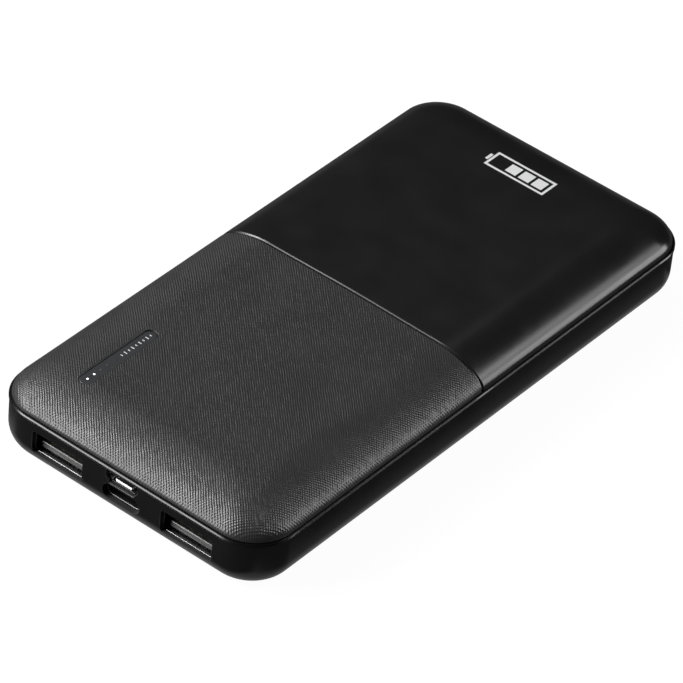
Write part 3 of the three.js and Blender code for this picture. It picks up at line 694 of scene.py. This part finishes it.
def hatched_plastic(name):
    """The cover's front half: uneven ribs along both diagonals, like linen, that fade on steep faces."""
    shader = Shader(name, HATCH_COLOR, HATCH_ROUGHNESS)
    lighter = scaled(HATCH_COLOR, 1.3)
    shader.vary(HATCH_COLOR, lighter, HATCH_ROUGHNESS - 0.03, HATCH_ROUGHNESS + 0.05, 7.0)
    wobble = shader.span(shader.noise(HATCH_WOBBLE_SIZE, 2.0), -HATCH_WOBBLE, HATCH_WOBBLE)
    normal = shader.add("NewGeometry").outputs["Normal"]
    parts = shader.add("SeparateXYZ")
    shader.feed(parts, 0, normal)
    level_share = shader.span(parts.outputs["Z"], HATCH_STEEP_SHARE, 1.0, *HATCH_FADE)
    for diagonal, steepness in HATCH_RIBS:
        across = Vector(diagonal).normalized()
        phase = shader.vector("DOT_PRODUCT", shader.position, across * (2 * math.pi / (HATCH_PITCH * MM)))
        slope = shader.math("COSINE", shader.math("ADD", phase, wobble))
        strength = shader.span(shader.streaks(across, *HATCH_STREAK), steepness * HATCH_FAINT, steepness)
        reach = shader.math("MULTIPLY", strength, level_share)
        tilt = shader.vector("SCALE", across, scale=shader.math("MULTIPLY", slope, reach))
        normal = shader.vector("SUBTRACT", normal, tilt)
    normal = shader.vector("NORMALIZE", normal)
    shader.bump(shader.noise(0.12, 2.0), 0.0015, normal)
    return shader.material


def metal(name, color, roughness):
    """Drawn or rolled metal with fine lines along one axis."""
    shader = Shader(name, color, roughness, metallic=1.0)
    lines = shader.noise(0.08, 3.0, (1, 12, 1))
    shader.set("Roughness", shader.span(lines, roughness - 0.06, roughness + 0.08))
    shader.set("Base Color", shader.tint(shader.noise(1.5), color, scaled(color, 0.82)))
    shader.bump(lines, 0.001)
    return shader.material


def smoked_window(name):
    """Dark acrylic: nearly black, glossy, with a faint moulded haze."""
    dark, light = (0.030, 0.031, 0.034), (0.038, 0.039, 0.042)
    return surface(name, dark, light, (0.2, 0.28), patch=3.0, grain=0.5, depth=0.001, detail=1.0)


def glowing(name, color, strength):
    """A light that shows through its guide: brightest in the middle of its dome."""
    shader = Shader(name, color, 0.35)
    facing = shader.add("LayerWeight")
    shader.feed(facing, "Blend", 0.3)
    shader.set("Emission Color", shader.tint(facing.outputs["Facing"], color, scaled(color, 0.7)))
    shader.set("Emission Strength", strength)
    return shader.material


def printed_ink(name):
    """White pad-printed ink with a slightly uneven sheen."""
    return surface(name, INK_COLOR, scaled(INK_COLOR, 0.88), (0.45, 0.6), patch=0.8, grain=0.1, depth=0.001)


def foam(name):
    """Black foam of small cells, each lighter and sunk in its middle."""
    edge, middle = (0.008, 0.008, 0.008), (0.032, 0.032, 0.034)
    shader = Shader(name, (0.02, 0.02, 0.021), 0.95)
    cells = shader.add("TexVoronoi")
    shader.feed(cells, "Vector", shader.position)
    shader.feed(cells, "Scale", 1 / (0.5 * MM))
    shader.set("Base Color", shader.tint(cells.outputs["Distance"], middle, edge))
    shader.bump(cells.outputs["Distance"], 0.15)
    return shader.material


def circuit_board(name):
    """Green solder mask over copper tracks that run in steps, with a patchy sheen."""
    mask, track = (0.010, 0.085, 0.028), (0.022, 0.16, 0.055)
    shader = Shader(name, (0.01, 0.09, 0.03), 0.35)
    tracks = shader.add("TexBrick", offset=0.5)
    shader.feed(tracks, "Vector", shader.position)
    shader.feed(tracks, "Scale", 1 / (4.0 * MM))
    shader.feed(tracks, "Mortar Size", 0.05)
    shader.set("Base Color", shader.tint(tracks.outputs["Fac"], mask, track))
    shader.set("Roughness", shader.span(shader.noise(3.0), 0.3, 0.42))
    shader.bump(tracks.outputs["Fac"], 0.02)
    return shader.material


def pouch_foil(name):
    """Laminated aluminium foil, softly crinkled."""
    light, dark = (0.64, 0.66, 0.68), (0.55, 0.56, 0.58)
    crinkle = {"grain": 3.0, "depth": 0.09, "detail": 4.0}
    return surface(name, light, dark, (0.26, 0.42), patch=6.0, metallic=1.0, **crinkle)


def ceramic(name):
    """Grey-black sintered ferrite."""
    dark, light = (0.04, 0.04, 0.042), (0.065, 0.063, 0.062)
    return surface(name, dark, light, (0.55, 0.75), patch=0.9, grain=0.25, depth=0.02, detail=4.0)


def adhesive_tape(name):
    """Yellowish tape with a grain along its length."""
    light, dark = (0.66, 0.58, 0.36), (0.55, 0.47, 0.28)
    grain = {"grain": 0.35, "depth": 0.01, "detail": 3.0, "stretch": (1, 6, 1)}
    return surface(name, light, dark, (0.4, 0.62), patch=2.5, **grain)


def wire_jacket(name, color):
    """Soft coloured insulation."""
    return surface(name, color, scaled(color, 0.75), (0.34, 0.48), patch=1.5, grain=0.2, depth=0.004)


# Colours, in linear light
INK_COLOR = (0.62, 0.62, 0.62)
CASE_COLOR = (0.0030, 0.0030, 0.0032)
SMOOTH_COLOR = (0.0080, 0.0080, 0.0084)
HATCH_COLOR = (0.0220, 0.0220, 0.0227)
HATCH_ROUGHNESS = 0.31

# The hatch, sizes in millimetres. Each set of ribs has the direction across it and its steepest slope.
HATCH_PITCH = 0.47
HATCH_RIBS = (((1.0, 1.0, 0.0), 0.44), ((1.0, -1.0, 0.0), 0.32))
# Streaks of this width and length make the ribs strong or faint, down to this share of their slope.
HATCH_STREAK = (0.6, 2.4)
HATCH_FAINT = 0.35
# The ribs wander by this much, in radians, over patches of this size.
HATCH_WOBBLE = 1.0
HATCH_WOBBLE_SIZE = 2.5
# While the normal's Z goes between these two, the ribs grow from this share of their slope to all of it.
HATCH_FADE = (0.3, 0.8)
HATCH_STEEP_SHARE = 0.25

# Each look: name, maker, and what its maker needs
LOOKS = [
    ("case_black", moulded_plastic, CASE_COLOR, 0.22),
    ("cover_black", moulded_plastic, SMOOTH_COLOR, 0.23),
    # recess_black, darker than the cover around it, is painted shade on the walls cut into the cover: the
    # indicator recess and the gaps in its lip.
    ("recess_black", moulded_plastic, (0.006, 0.006, 0.006), 0.45),
    # mouth_black, lighter than the case's plastic, is painted fill light on the faces cut into the tray,
    # inside its openings.
    ("mouth_black", moulded_plastic, (0.018, 0.018, 0.0185), 0.5),
    ("cover_hatched", hatched_plastic),
    ("smoked_lens", smoked_window),
    ("light_lit", glowing, (1.0, 1.0, 1.0), 1.6),
    ("light_off", moulded_plastic, (0.05, 0.05, 0.052), 0.3),
    ("white_ink", printed_ink),
    ("foam", foam),
    ("board_green", circuit_board),
    ("black_plastic", moulded_plastic, (0.012, 0.012, 0.012), 0.5),
    ("grey_plastic", moulded_plastic, (0.10, 0.10, 0.098), 0.24),
    ("white_plastic", moulded_plastic, (0.92, 0.92, 0.91), 0.4),
    ("led_body", moulded_plastic, (0.85, 0.83, 0.70), 0.3),
    ("steel", metal, (0.62, 0.63, 0.64), 0.26),
    # socket_steel, edge_steel and dull_steel are the shells' one steel dimmed by painted shade: socket_steel
    # for the shaded insides, edge_steel less so for the USB-A front edges, dull_steel most for the micro-USB
    # front edge.
    ("socket_steel", metal, (0.14, 0.14, 0.145), 0.36),
    ("edge_steel", metal, (0.26, 0.26, 0.265), 0.32),
    ("dull_steel", metal, (0.05, 0.05, 0.052), 0.40),
    ("gold_contact", metal, (0.80, 0.60, 0.28), 0.24),
    ("nickel", metal, (0.60, 0.58, 0.53), 0.34),
    ("ferrite", ceramic),
    ("foil", pouch_foil),
    ("tape", adhesive_tape),
    ("wire_red", wire_jacket, (0.42, 0.02, 0.015)),
    ("wire_black", wire_jacket, (0.014, 0.014, 0.014)),
]
MATERIALS = {name: make(name, *values) for name, make, *values in LOOKS}


# ---- Case pieces ----

def hook_parts(reach, clearance):
    """Blocks for the snap hooks on the cover's lip, or for their pockets in the tray."""
    low_z, high_z = HOOK_Z[0] - clearance, HOOK_Z[1] + clearance
    half = HOOK_LENGTH / 2 + clearance
    root = LIP_INSET + LIP_THICKNESS / 2
    tip = LIP_INSET - reach
    parts = []
    for y in SIDE_HOOK_Y:
        for near, far in ((HALF_X - root, HALF_X - tip), (tip - HALF_X, root - HALF_X)):
            parts.append(box_part((near, y - half, low_z), (far, y + half, high_z), HOOK_EDGE))
    for x in REAR_HOOK_X:
        parts.append(box_part((x - half, HALF_Y - root, low_z), (x + half, HALF_Y - tip, high_z), HOOK_EDGE))
    return parts


def pill_outline(grow):
    """The indicator recess's outline: a slot with round ends."""
    corners = rectangle(PILL_X, PILL_Y, PILL_WIDTH, PILL_LENGTH)
    return rounded(corners, PILL_WIDTH / 2 - 0.01, grow, 16)


def pill_cutter():
    """Cuts the recess through the cover, with an edge that rounds over into its surface."""
    loops = [place(pill_outline(0), "z", SHOULDER_TOP - 4)]
    for s, c in reversed(quarter()):
        outline = pill_outline(PILL_EDGE * s)
        loops.append([(x, y, cover_height(x, y) + CUT_LIFT - PILL_EDGE * c) for x, y in outline])
    ordered = [loops[0]] + sorted(loops[1:], key=lambda loop: loop[0][2])
    ordered.append(place(pill_outline(PILL_EDGE), "z", COVER_TOP + 1))
    return skin(ordered)


def cover_moulding():
    """The cover: soft shoulder, slight crown, seam, lip with hooks, and the indicator recess."""
    hollow_run = COVER_INSET + SHOULDER_RUN - HOLLOW_INSET
    ceiling = SHOULDER_TOP - COVER_WALL
    wall = shoulder(HOLLOW_INSET, HOLLOW_KNEE, hollow_run, ceiling - HOLLOW_KNEE, HOLLOW_STEPS)
    inner = to_middle(wall[-1][0], ceiling, CEILING_STEPS)[::-1] + wall[::-1]
    lip = [
        (HOLLOW_INSET, LIP_BOTTOM + LIP_EDGE),
        (HOLLOW_INSET - LIP_EDGE, LIP_BOTTOM),
        (LIP_INSET + LIP_EDGE, LIP_BOTTOM),
        (LIP_INSET, LIP_BOTTOM + LIP_EDGE),
        (LIP_INSET, COVER_BOTTOM),
    ]
    edge = [(COVER_INSET + COVER_EDGE * s, COVER_BOTTOM + COVER_EDGE * c) for s, c in quarter(4)]
    rows = shoulder(COVER_INSET, COVER_BOTTOM, SHOULDER_RUN, SHOULDER_TOP - COVER_BOTTOM)
    face = [row for row in rows if row[1] > edge[-1][1] + 0.05]
    top = to_middle(face[-1][0], SHOULDER_TOP, TOP_STEPS)
    loops = case_loops(inner + lip) + case_loops(edge + face + top, seam=True)
    looks = [MATERIALS["cover_black"], MATERIALS["cover_hatched"]]
    mesh = to_mesh("cover_moulding", *skin(loops, capped=False), looks)
    for polygon in mesh.polygons:
        polygon.material_index = 1 if polygon.center.y < HATCH_EDGE_Y * MM else 0
    piece = add_piece("cover_moulding", mesh, CASE_BODY, ["top_cover"])
    combine(piece, add_tool(hook_parts(HOOK_REACH, 0)), "UNION")
    key_low, key_high = box_mm("side_key")
    gap_top = COVER_BOTTOM - 0.03
    port_gap = box_part((-PORT_GAP_HALF, -HALF_Y, 0), (PORT_GAP_HALF, PORT_GAP_REAR, gap_top))
    key_gap_low = (-HALF_X, key_low.y - KEY_GAP_MARGIN, 0)
    key_gap = box_part(key_gap_low, (-PORT_GAP_HALF, key_high.y + KEY_GAP_MARGIN, gap_top))
    # The cut walls take recess_black: painted shade in the recess and the lip's gaps.
    combine(piece, add_tool([port_gap, key_gap, pill_cutter()], MATERIALS["recess_black"]), "DIFFERENCE")
    settle_normals(piece)


def window_cutter(outline_at, axis, wall, inside):
    """Cuts an opening through a wall, from just outside it to a place inside, with a rounded outer edge."""
    inward = 1 if inside > wall else -1
    outside = wall - inward * CUT_LIFT
    loops = [place(outline_at(WINDOW_EDGE), axis, wall - inward)]
    for s, c in quarter():
        loops.append(place(outline_at(WINDOW_EDGE * s), axis, outside + inward * WINDOW_EDGE * c))
    loops.append(place(outline_at(0), axis, inside))
    return skin(loops)


def usb_a_outline(node, clearance=0.0):
    """The outline of a USB-A shell, in X and Z, for an amount of growth."""
    corners = node_corners(node, "xz")
    return lambda grow: rounded(corners, USB_A_RADIUS, grow + clearance)


def usb_a_mouth(node):
    """The opening in the case over a USB-A shell, as wide as the inside of the shell."""
    corners = node_corners(node, "xz", USB_A_MOUTH)
    return lambda grow: rounded(corners, USB_A_MOUTH_RADIUS, grow)


def usb_c_outline(clearance=0.0):
    low, high = box_mm("usb_c_shell")
    corners = node_corners("usb_c_shell", "xz")
    return lambda grow: rounded(corners, (high.z - low.z) / 2 - 0.02, grow + clearance, 12)


def micro_outline(clearance=0.0):
    """The micro-USB shell's outline: wide at the top, drawn in below a knee."""
    low, high = box_mm("micro_usb_shell")
    wide, narrow = high.x, high.x - MICRO_TAPER
    knee = low.z + MICRO_KNEE
    right = [(narrow, low.z), (wide, knee), (wide, high.z)]
    left = [(-wide, high.z), (-wide, knee)]
    corners = [(-narrow, low.z)] + right + left
    return lambda grow: rounded(corners, MICRO_RADIUS, grow + clearance, 5)


def key_outline(clearance=0.0):
    """The side key's outline, in Y and Z."""
    corners = node_corners("side_key", "yz", KEY_SIZE)
    return lambda grow: rounded(corners, KEY_SIZE[1] / 2 - 0.01, grow + clearance, ROUND_STEPS)


def tray_moulding():
    """The tray: rounded foot, plain wall, scored rim, port and key openings, bosses and hook pockets."""
    foot = [(RIM_OVERHANG + FOOT_RADIUS * s, FOOT_RADIUS * c) for s, c in quarter(FOOT_STEPS)]
    base = to_middle(foot[0][0], 0.0, BASE_STEPS)[::-1]
    rim = [
        (RIM_OVERHANG, RIM_BOTTOM - RIM_EASE / 2),
        (RIM_OVERHANG - RIM_EASE / 2, RIM_BOTTOM),
        (0.0, RIM_BOTTOM + RIM_EASE / 2),
        (0.0, RIM_LINE_BOTTOM),
        (RIM_LINE_DEPTH, RIM_LINE_BOTTOM + RIM_LINE_RISE),
        (0.0, RIM_LINE_BOTTOM + RIM_LINE_RISE + RIM_LINE_ROOF),
        (0.0, RIM_TOP - RIM_SLANT[1] - RIM_SLANT_ROUND),
        (RIM_SLANT_ROUND, RIM_TOP - RIM_SLANT[1]),
        (RIM_SLANT[0], RIM_TOP - RIM_SLANT_ROUND),
        (RIM_SLANT[0] + RIM_SLANT_ROUND, RIM_TOP),
    ]
    cavity_radius = FOOT_RADIUS - WALL
    cavity = [
        (CAVITY_INSET + cavity_radius * s, FLOOR + cavity_radius * c)
        for s, c in quarter(CAVITY_STEPS)
    ]
    inner = [(CAVITY_INSET - CAVITY_EDGE, RIM_TOP), (CAVITY_INSET, RIM_TOP - CAVITY_EDGE)] + cavity[::-1]
    middle = to_middle(cavity[0][0], FLOOR, FLOOR_STEPS)
    part = skin(case_loops(base + foot + rim + inner + middle), capped=False)
    piece = solid_piece("tray_moulding", part, "case_black", ["bottom_tray"])

    board_bottom = box_mm("main_board")[0].z
    places = [(low + high) / 2 for low, high in map(box_mm, SCREW_NODES)]
    bosses = [post_part(p.x, p.y, BOSS_RADIUS, FLOOR / 2, board_bottom, BOSS_EDGE) for p in places]
    combine(piece, add_tool(bosses), "UNION")

    inside = -HALF_Y + CAVITY_INSET + PORT_CUT_DEPTH
    front_wall, side_wall = -HALF_Y + RIM_OVERHANG, -HALF_X + RIM_OVERHANG
    usb_a_nodes = ["usb_a_left_shell", "usb_a_right_shell"]
    pockets = []
    outlines = [usb_a_mouth(node) for node in usb_a_nodes]
    outlines += [usb_c_outline(WINDOW_CLEARANCE), micro_outline(WINDOW_CLEARANCE)]
    cutters = [window_cutter(outline, "y", front_wall, inside) for outline in outlines]
    for node in usb_a_nodes:
        pocket = usb_a_outline(node, WINDOW_CLEARANCE)(0)
        pocket_front = box_mm(node)[0].y - USB_A_LIP
        pockets.append(skin([place(pocket, "y", pocket_front), place(pocket, "y", inside)]))
    key_inside = -HALF_X + CAVITY_INSET + KEY_CUT_DEPTH
    cutters.append(window_cutter(key_outline(KEY_CLEARANCE), "x", side_wall, key_inside))
    cutters += hook_parts(HOOK_REACH + HOOK_POCKET_DEPTH, HOOK_CLEARANCE)
    cutters += [post_part(p.x, p.y, PILOT_RADIUS, PILOT_BOTTOM, board_bottom + 1) for p in places]
    # The cut faces take mouth_black: painted fill light inside the openings.
    combine(piece, add_tool(cutters, MATERIALS["mouth_black"]), "DIFFERENCE")
    combine(piece, add_tool(pockets, MATERIALS["mouth_black"]), "DIFFERENCE")
    settle_normals(piece)


# ---- Indicator ----

def window_lens():
    """The smoked window: a slot-shaped lens with a soft edge, on a flange that glues under the cover."""
    base, step = LENS_LOW.z, LENS_FLANGE_TOP
    rows = [(LENS_FLANGE, base), (LENS_FLANGE, step), (-LENS_CLEARANCE, step)]
    rows += [(-LENS_CLEARANCE - LENS_EDGE * c, LENS_TOP - LENS_EDGE * s) for s, c in quarter()]
    rows.append((LENS_FACE_INSET - PILL_WIDTH / 2, LENS_TOP - LENS_FACE_DIP))
    part = skin([place(pill_outline(grow), "z", z) for grow, z in rows])
    solid_piece("window_lens", part, "smoked_lens", ["indicator_window"])


def light_spot(number):
    """A small domed light guide set in the window over one of the lights."""
    low, high = box_mm(f"led_{number}")
    y = (low.y + high.y) / 2
    loops = []
    for share, rise in LIGHT_SPOT_PROFILE:
        outline = circle(PILL_X, y, LIGHT_SPOT_RADIUS * share, SPOT_SEGMENTS)
        loops.append(place(outline, "z", LENS_TOP + rise))
    look = "light_lit" if number <= LIT_LIGHTS else "light_off"
    solid_piece(f"light_spot_{number}", skin(loops), look)


# ---- Ports ----

def sheet_tube(outline_at, sheet, front, back, closed_back):
    """A folded sheet shell lying along Y, with rounded front edges. Its back is open or closed."""
    edge = sheet * SHEET_EDGE_SHARE
    outer = [(back, 0.0), (front + edge, 0.0)]
    outer += [(front + edge * s, -edge * c) for s, c in quarter(4)[1:]]
    inner = [(front + edge * s, -sheet + edge * c) for s, c in quarter(4)[::-1]]
    inner.append((back - sheet if closed_back else back, -sheet))
    loops = [place(outline_at(grow), "y", y) for y, grow in outer + inner]
    return skin(loops, closed=not closed_back, capped=closed_back)


def spring_finger(x, floor, start, end):
    """A contact spring in the shell's floor: a strip that humps up into the mouth."""
    left, right = x - SPRING_WIDTH / 2, x + SPRING_WIDTH / 2
    loops = []
    for step in range(SPRING_STEPS + 1):
        share = step / SPRING_STEPS
        y = start + (end - start) * share
        hump = SPRING_LIFT * math.sin(math.pi * min(share / SPRING_HUMP_SHARE, 1.0)) ** 2
        low = floor + SPRING_GAP + hump
        high = low + SPRING_THICKNESS
        loops.append([(left, y, low), (right, y, low), (right, y, high), (left, y, high)])
    return skin(loops)


def socket_shell(node, outline_at, sheet, closed_back, edge_look):
    """A socket's shell of one steel in two tones of painted shade: the tone given for its front edge, and dim
    socket steel behind.
    """
    low, high = box_mm(node)
    part = sheet_tube(outline_at, sheet, low.y, high.y, closed_back)
    mesh = to_mesh(f"{node}_fine", *part, [MATERIALS["socket_steel"], MATERIALS[edge_look]])
    # Front edge in its given tone, the rest in dim socket steel: painted shade on one metal.
    for polygon in mesh.polygons:
        polygon.material_index = 1 if polygon.center.y < (low.y + SHELL_EDGE) * MM else 0
    return add_piece(f"{node}_fine", mesh, CASE_BODY, [node])


def usb_a_shell(side):
    """A USB-A shell, with two springs in its floor."""
    node = f"usb_a_{side}_shell"
    low, high = box_mm(node)
    piece = socket_shell(node, usb_a_outline(node), USB_A_SHEET, True, "edge_steel")
    middle = (low.x + high.x) / 2
    slot_start, slot_end = [low.y + place_y for place_y in SLOT_SPAN]
    spring_start, spring_end = [low.y + place_y for place_y in SPRING_SPAN]
    slots, fingers = [], []
    for x in (middle - SPRING_OFFSET, middle + SPRING_OFFSET):
        slot_low = (x - SLOT_HALF_WIDTH, slot_start, low.z - 1)
        slot_high = (x + SLOT_HALF_WIDTH, slot_end, low.z + USB_A_SHEET + 0.05)
        slots.append(box_part(slot_low, slot_high))
        fingers.append(spring_finger(x, low.z, spring_start, spring_end))
    combine(piece, add_tool(slots, MATERIALS["socket_steel"]), "DIFFERENCE")
    combine(piece, add_tool(fingers, MATERIALS["steel"]), "UNION")
    settle_normals(piece)


def port_tongue(node, slot, width, heights, step, block_outline, nose):
    """A tongue with a thinned nose, on a block at the shell's back. Its upward faces take dark plastic, a
    painted shade on its top.
    """
    low, high = box_mm(node)
    bottom, top = heights
    corners = rectangle((low.x + high.x) / 2, (bottom + top) / 2, width, top - bottom)
    radius = min(TONGUE_RADIUS, (top - bottom) * 0.3)
    loops = []
    for s, c in reversed(quarter(4)):
        loops.append(place(rounded(corners, radius, -nose * c), "y", low.y + nose * s))
    loops.append(place(rounded(corners, radius), "y", step + TONGUE_OVERLAP))
    piece = solid_piece(f"{node}_fine", skin(loops), slot, [node])
    block = skin([place(block_outline, "y", step), place(block_outline, "y", high.y)])
    combine(piece, add_tool([block], MATERIALS[slot]), "UNION")
    # The upward faces take dark plastic: painted shade on the tongue's top inside its shell.
    piece.data.materials.append(MATERIALS["black_plastic"])
    shaded_top = len(piece.data.materials) - 1
    for polygon in piece.data.polygons:
        if polygon.normal.z > SHADED_TOP_FACING:
            polygon.material_index = shaded_top
    smooth_edges(piece.data)


def usb_a_tongue(side):
    """A USB-A tongue: it fills the shell up to its contacts."""
    heights = (USB_A_TONGUE_BOTTOM, box_mm(f"usb_a_{side}_contact_1")[0].z)
    block = usb_a_outline(f"usb_a_{side}_shell")(-USB_A_SHEET - CONNECTOR_FIT)
    sizes = (USB_A_TONGUE_WIDTH, heights, USB_A_TONGUE_STEP)
    port_tongue(f"usb_a_{side}_tongue", "grey_plastic", *sizes, block, USB_A_TONGUE_NOSE)


def usb_c_parts():
    """The USB-C shell, and the thin tongue down its middle."""
    low, high = box_mm("usb_c_shell")
    socket_shell("usb_c_shell", usb_c_outline(), USB_C_SHEET, False, "socket_steel")
    width, thickness = USB_C_TONGUE_SIZE
    middle = (low.z + high.z) / 2
    heights = (middle - thickness / 2, middle + thickness / 2)
    block = usb_c_outline()(-USB_C_SHEET - CONNECTOR_FIT)
    port_tongue("usb_c_tongue", "black_plastic", width, heights, USB_C_TONGUE_STEP, block, USB_C_TONGUE_NOSE)


def micro_parts():
    """The micro-USB shell and the white tongue in its upper half."""
    socket_shell("micro_usb_shell", micro_outline(), MICRO_SHEET, False, "dull_steel")
    block = micro_outline()(-MICRO_SHEET - CONNECTOR_FIT)
    sizes = (MICRO_TONGUE_WIDTH, MICRO_TONGUE_Z, MICRO_TONGUE_STEP)
    port_tongue("micro_usb_tongue", "white_plastic", *sizes, block, MICRO_TONGUE_NOSE)


# ---- Side key ----

def key_cap():
    """The side key: a long round-ended cap with a soft edge, on a flange that keeps it in the case."""
    low, high = box_mm("side_key")
    outline = key_outline()
    flange = rounded(node_corners("side_key", "yz"), KEY_FLANGE_RADIUS, 0, ROUND_STEPS)
    loops = [place(outline(-KEY_FACE_INSET), "x", low.x)]
    for s, c in reversed(quarter()):
        level = low.x + KEY_FACE_RISE + KEY_EDGE * s
        loops.append(place(outline(-KEY_EDGE * c), "x", level))
    step = high.x - KEY_FLANGE_THICKNESS
    loops += [place(outline(0), "x", step), place(flange, "x", step), place(flange, "x", high.x)]
    solid_piece("key_cap", skin(loops), "case_black", ["side_key"], KEY_BODY)


# ---- Print ----

def ink_patch(x0, y0, x1, y1, base=None):
    """A thin printed rectangle that follows the cover, or lies flat at a height."""
    low_row, high_row = [], []
    for x, y in [(x0, y0), (x1, y0), (x1, y1), (x0, y1)]:
        level = cover_height(x, y) if base is None else base
        low_row.append((x, y, level - INK_ROOT))
        high_row.append((x, y, level + INK_THICKNESS))
    return skin([low_row, high_row])


def battery_sign():
    """A plain battery pictogram printed on the smooth half."""
    x, y = SIGN_CENTRE
    half_x, half_y, line = SIGN_SIZE[0] / 2, SIGN_SIZE[1] / 2, SIGN_LINE
    # The short bars run a little way into the long ones, so that no two bars share an edge.
    side_y = half_y - SIGN_JOIN
    terminal_left, terminal_right = [x - half_x - reach for reach in SIGN_TERMINAL_REACH]
    parts = [
        ink_patch(x - half_x, y - half_y, x + half_x, y - half_y + line),
        ink_patch(x - half_x, y + half_y - line, x + half_x, y + half_y),
        ink_patch(x - half_x, y - side_y, x - half_x + line, y + side_y),
        ink_patch(x + half_x - line, y - side_y, x + half_x, y + side_y),
        ink_patch(terminal_left, y - SIGN_TERMINAL_HALF, terminal_right, y + SIGN_TERMINAL_HALF),
    ]
    cell_half = half_y - line - SIGN_GAP
    pitch = (2 * half_x - 2 * line - SIGN_GAP) / SIGN_CELLS
    for cell in range(SIGN_CELLS - 1):
        right = x + half_x - line - SIGN_GAP - cell * pitch
        parts.append(ink_patch(right - pitch + SIGN_GAP, y - cell_half, right, y + cell_half))
    solid_piece("battery_sign", merge_parts(parts), "white_ink")


def level_marks():
    """A plain row of scale marks printed in the indicator recess, every second one longer."""
    parts = []
    for count in range(MARK_COUNT):
        y = MARK_START_Y + count * MARK_PITCH
        half = MARK_HALF_LENGTHS[count % 2]
        parts.append(ink_patch(PILL_X - half, y, PILL_X + half, y + MARK_WIDTH, LENS_TOP))
    solid_piece("level_marks", merge_parts(parts), "white_ink")


# ---- Pieces that keep their CAD shape ----

def finish_inner_nodes():
    """Gives every CAD node the material of its slot in the record."""
    for part in frame["record"]["subparts"]:
        node = frame["nodes"][part["node"]]
        node.data.materials.clear()
        node.data.materials.append(MATERIALS[part["material_slot"]])
        smooth_edges(node.data, 35)


# ---- Stage ----

def softbox(name, azimuth, elevation, strength):
    """A square light aimed at the object. Azimuth 0 is in front of the ports, and 90 is off the +X side."""
    turn, lift = math.radians(azimuth), math.radians(elevation)
    away = Vector((math.sin(turn) * math.cos(lift), -math.cos(turn) * math.cos(lift), math.sin(lift)))
    data = bpy.data.lights.new(name, "AREA")
    data.shape = "SQUARE"
    data.size = SOFTBOX_SIDE
    data.energy = strength * SOFTBOX_POWER * SOFTBOX_SIDE ** 2
    light = add_object(name, data)
    light.location = away * SOFTBOX_DISTANCE
    light.rotation_euler = away.to_track_quat("Z", "Y").to_euler()
    light.visible_camera = False


def floor_look():
    """White to the camera. Everything else sees a dim floor, with a brighter band close beside the case."""
    shader = Shader("floor", (FLOOR_BOUNCE,) * 3, 1.0)
    shader.set("Specular IOR Level", 0.0)
    folded = shader.vector("ABSOLUTE", shader.position)
    corner = shader.vector("SUBTRACT", folded, (HALF_X * MM, HALF_Y * MM, 0))
    parts = shader.add("SeparateXYZ")
    shader.feed(parts, 0, corner)
    from_end = shader.math("MULTIPLY", parts.outputs[1], BESIDE_REACH / BESIDE_END_REACH)
    away = shader.math("MAXIMUM", parts.outputs[0], from_end)
    beside = shader.span(away, BESIDE_GLOW, 0.0, 0.0, BESIDE_REACH * MM)
    seen = shader.add("LightPath").outputs["Is Camera Ray"]
    hidden = shader.math("SUBTRACT", 1.0, seen)
    seen_glow = shader.math("MULTIPLY", seen, FLOOR_GLOW)
    glow = shader.math("ADD", seen_glow, shader.math("MULTIPLY", hidden, beside))
    shader.set("Emission Color", (1, 1, 1, 1))
    shader.set("Emission Strength", glow)
    return shader.material


def pale_floor():
    """A wide plain floor, a hair under the case so that the two faces never coincide."""
    half, level = FLOOR_HALF, -FLOOR_GAP * MM
    corners = [(-half, -half, level), (half, -half, level), (half, half, level), (-half, half, level)]
    mesh = bpy.data.meshes.new("floor")
    mesh.from_pydata(corners, [], [(0, 1, 2, 3)])
    mesh.materials.append(floor_look())
    add_object("floor", mesh)


def studio_world():
    """White behind the floor for the camera, and a dark room for everything else."""
    world = bpy.data.worlds.new("studio")
    world.use_nodes = True
    bpy.context.scene.world = world
    back = world.node_tree.nodes["Background"]
    back.inputs["Color"].default_value = (1, 1, 1, 1)
    path = world.node_tree.nodes.new("ShaderNodeLightPath")
    world.node_tree.links.new(path.outputs["Is Camera Ray"], back.inputs["Strength"])


def camera():
    """A long lens looking down on the port end from the right, tilted slightly."""
    back = Vector((
        math.sin(CAMERA_AZIMUTH) * math.cos(CAMERA_ELEVATION),
        -math.cos(CAMERA_AZIMUTH) * math.cos(CAMERA_ELEVATION),
        math.sin(CAMERA_ELEVATION),
    ))
    level = Vector((math.cos(CAMERA_AZIMUTH), math.sin(CAMERA_AZIMUTH), 0))
    upright = back.cross(level)
    right = level * math.cos(CAMERA_ROLL) + upright * math.sin(CAMERA_ROLL)
    up = upright * math.cos(CAMERA_ROLL) - level * math.sin(CAMERA_ROLL)
    data = bpy.data.cameras.new("camera")
    data.lens = CAMERA_LENS
    data.sensor_width = CAMERA_SENSOR
    data.clip_start, data.clip_end = 0.01, 20
    view = add_object("camera", data)
    place_at = (back * CAMERA_DISTANCE + right * CAMERA_SHIFT[0] + up * CAMERA_SHIFT[1]) * MM
    turn = Matrix((right, up, back)).transposed().to_4x4()
    view.matrix_world = Matrix.Translation(place_at) @ turn
    bpy.context.scene.camera = view


# ---- Build ----

finish_inner_nodes()
cover_moulding()
tray_moulding()
window_lens()
for number in range(1, 5):
    light_spot(number)
for side in ("left", "right"):
    usb_a_shell(side)
    usb_a_tongue(side)
usb_c_parts()
micro_parts()
key_cap()
battery_sign()
level_marks()
pale_floor()
studio_world()
for light in LIGHTS:
    softbox(*light)
camera()
bpy.context.scene.view_settings.view_transform = "Standard"
